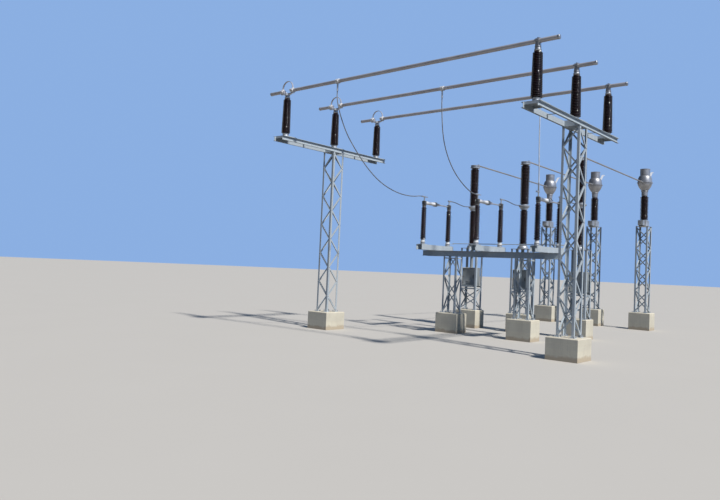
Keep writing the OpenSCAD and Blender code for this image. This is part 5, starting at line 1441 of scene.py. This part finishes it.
def dressBoxes(s):
    base = lowestOf("ct_bases") + s["plate"]
    wide, deep, tall = s["box"]
    front = ctY - s["half"] - deep
    covers, screws, glands, bolts16, collar = bmesh.new(), [], bmesh.new(), [], []
    for x in poleX:
        low, high = base + s["lift"] + s["coverEdge"], base + s["lift"] + tall - s["coverEdge"]
        addBox(covers, (x - wide / 2 + s["coverEdge"], front - s["cover"], low),
               (x + wide / 2 - s["coverEdge"], front + 0.002, high))
        inset = s["coverEdge"] + s["screwInset"] / 2
        for i in (-1, 0, 1):
            for level in (low + s["screwInset"] / 2, high - s["screwInset"] / 2):
                screws.append(outwards((x + i * (wide / 2 - inset), front - s["cover"], level), (0, -1, 0)))
        for offset in s["glands"]:
            for radius, sides, top, bottom in ((s["glandR"], 6, 0.0, 0.012), (s["glandR"] * 0.8, 16, 0.012, 0.026)):
                place = Matrix.Translation((x + offset, front + 0.045, base + s["lift"] - (top + bottom) / 2))
                bmesh.ops.create_cone(glands, cap_ends=True, segments=sides, radius1=radius, radius2=radius,
                                      depth=bottom - top, matrix=place)
        bolts16 += corners((x, ctY, base), s["plateBolt"], s["plateBolt"])
        collar += ringOf((x, ctY, base + s["collar"]), s["collarCircle"], 8, first=math.pi / 8)
    bevelAll(covers, 0.003, 2)
    finishPiece("terminal_box_covers", covers, fixed, aluminium)
    finishPiece("terminal_box_glands", glands, fixed, darkHousing)
    fasten("terminal_box_screws", boltUnit("m8"), screws)
    fasten("transformer_base_bolts", boltUnit("m16"), bolts16)
    fasten("transformer_collar_bolts", boltUnit("m12"), collar)


dressTransformers(ctHead)
linkSockets(linkSocket)
dressBoxes(ctBox)
print("current transformers dressed")


# Studio: pale floor and sky, soft light from high on the right

studio = {"floor": (0.56, 0.53, 0.48), "floorShade": (0.50, 0.47, 0.42), "floorLit": 0.2,
          "sky": (0.26, 0.43, 0.76), "skyLight": 0.32, "mirrorSide": (0.87, 0.49, 0.0), "mirrorDim": 0.15,
          "mirrorBright": 1.15, "sun": 4.1, "sunFrom": (0.646, -0.114, 0.755), "sunSoftness": 3,
          "floorRadius": 260}


def seenDirectly(tree):
    # 1 for what the camera, metal and glass show, 0 for the light on dull surfaces
    ray = tree.nodes.new("ShaderNodeLightPath")
    seen = maths(tree, "MAXIMUM", ray.outputs["Is Camera Ray"], ray.outputs["Is Glossy Ray"])
    return maths(tree, "MAXIMUM", seen, ray.outputs["Is Transmission Ray"])


def makeStudio(s):
    shape = bmesh.new()
    bmesh.ops.create_circle(shape, cap_ends=True, segments=96, radius=s["floorRadius"])
    mesh = bpy.data.meshes.new("floor")
    shape.to_mesh(mesh)
    shape.free()
    floor = bpy.data.objects.new("floor", mesh)
    floor.location = (0, 0, cadBox[0][2] - 0.002)
    bpy.context.scene.collection.objects.link(floor)
    material, tree, shader, place = newMaterial("floorPaint")
    soft = spread(tree, noise(tree, place, 0.4, 4), 0.3, 0.7, 0.0, 0.12)
    pale = mixColour(tree, soft, s["floor"], s["floorShade"])
    thrownBack = mixColour(tree, s["floorLit"], (0, 0, 0), pale)
    plug(tree, shader.inputs["Base Color"], mixColour(tree, seenDirectly(tree), thrownBack, pale))
    shader.inputs["Roughness"].default_value = 0.9
    shader.inputs["Specular IOR Level"].default_value = 0.2
    mesh.materials.append(material)

    lamp = bpy.data.lights.new("sun", "SUN")
    lamp.energy = s["sun"]
    lamp.angle = math.radians(s["sunSoftness"])
    lamp.color = (1.0, 0.975, 0.94)
    sun = bpy.data.objects.new("sun", lamp)
    sun.rotation_euler = Vector(s["sunFrom"]).to_track_quat("Z", "Y").to_euler()
    bpy.context.scene.collection.objects.link(sun)

    world = bpy.data.worlds.new("studio")
    bpy.context.scene.world = world
    world.use_nodes = True
    tree = world.node_tree
    background = tree.nodes["Background"]
    # metal mirrors a sky that is bright on the sun's side and dim on the other
    side = tree.nodes.new("ShaderNodeVectorMath")
    side.operation = "DOT_PRODUCT"
    side.inputs[1].default_value = s["mirrorSide"]
    tree.links.new(tree.nodes.new("ShaderNodeTexCoord").outputs["Generated"], side.inputs[0])
    mirrored = spread(tree, side.outputs["Value"], -0.5, 0.8, s["mirrorDim"], s["mirrorBright"])
    strength = spread(tree, seenDirectly(tree), 0.0, 1.0, s["skyLight"], 1.0)
    glossy = tree.nodes.new("ShaderNodeLightPath").outputs["Is Glossy Ray"]
    strength = spread(tree, glossy, 0.0, 1.0, strength, mirrored)
    plug(tree, background.inputs["Color"], s["sky"])
    plug(tree, background.inputs["Strength"], strength)


makeStudio(studio)
bpy.context.scene.view_settings.view_transform = "Standard"
print("studio made")
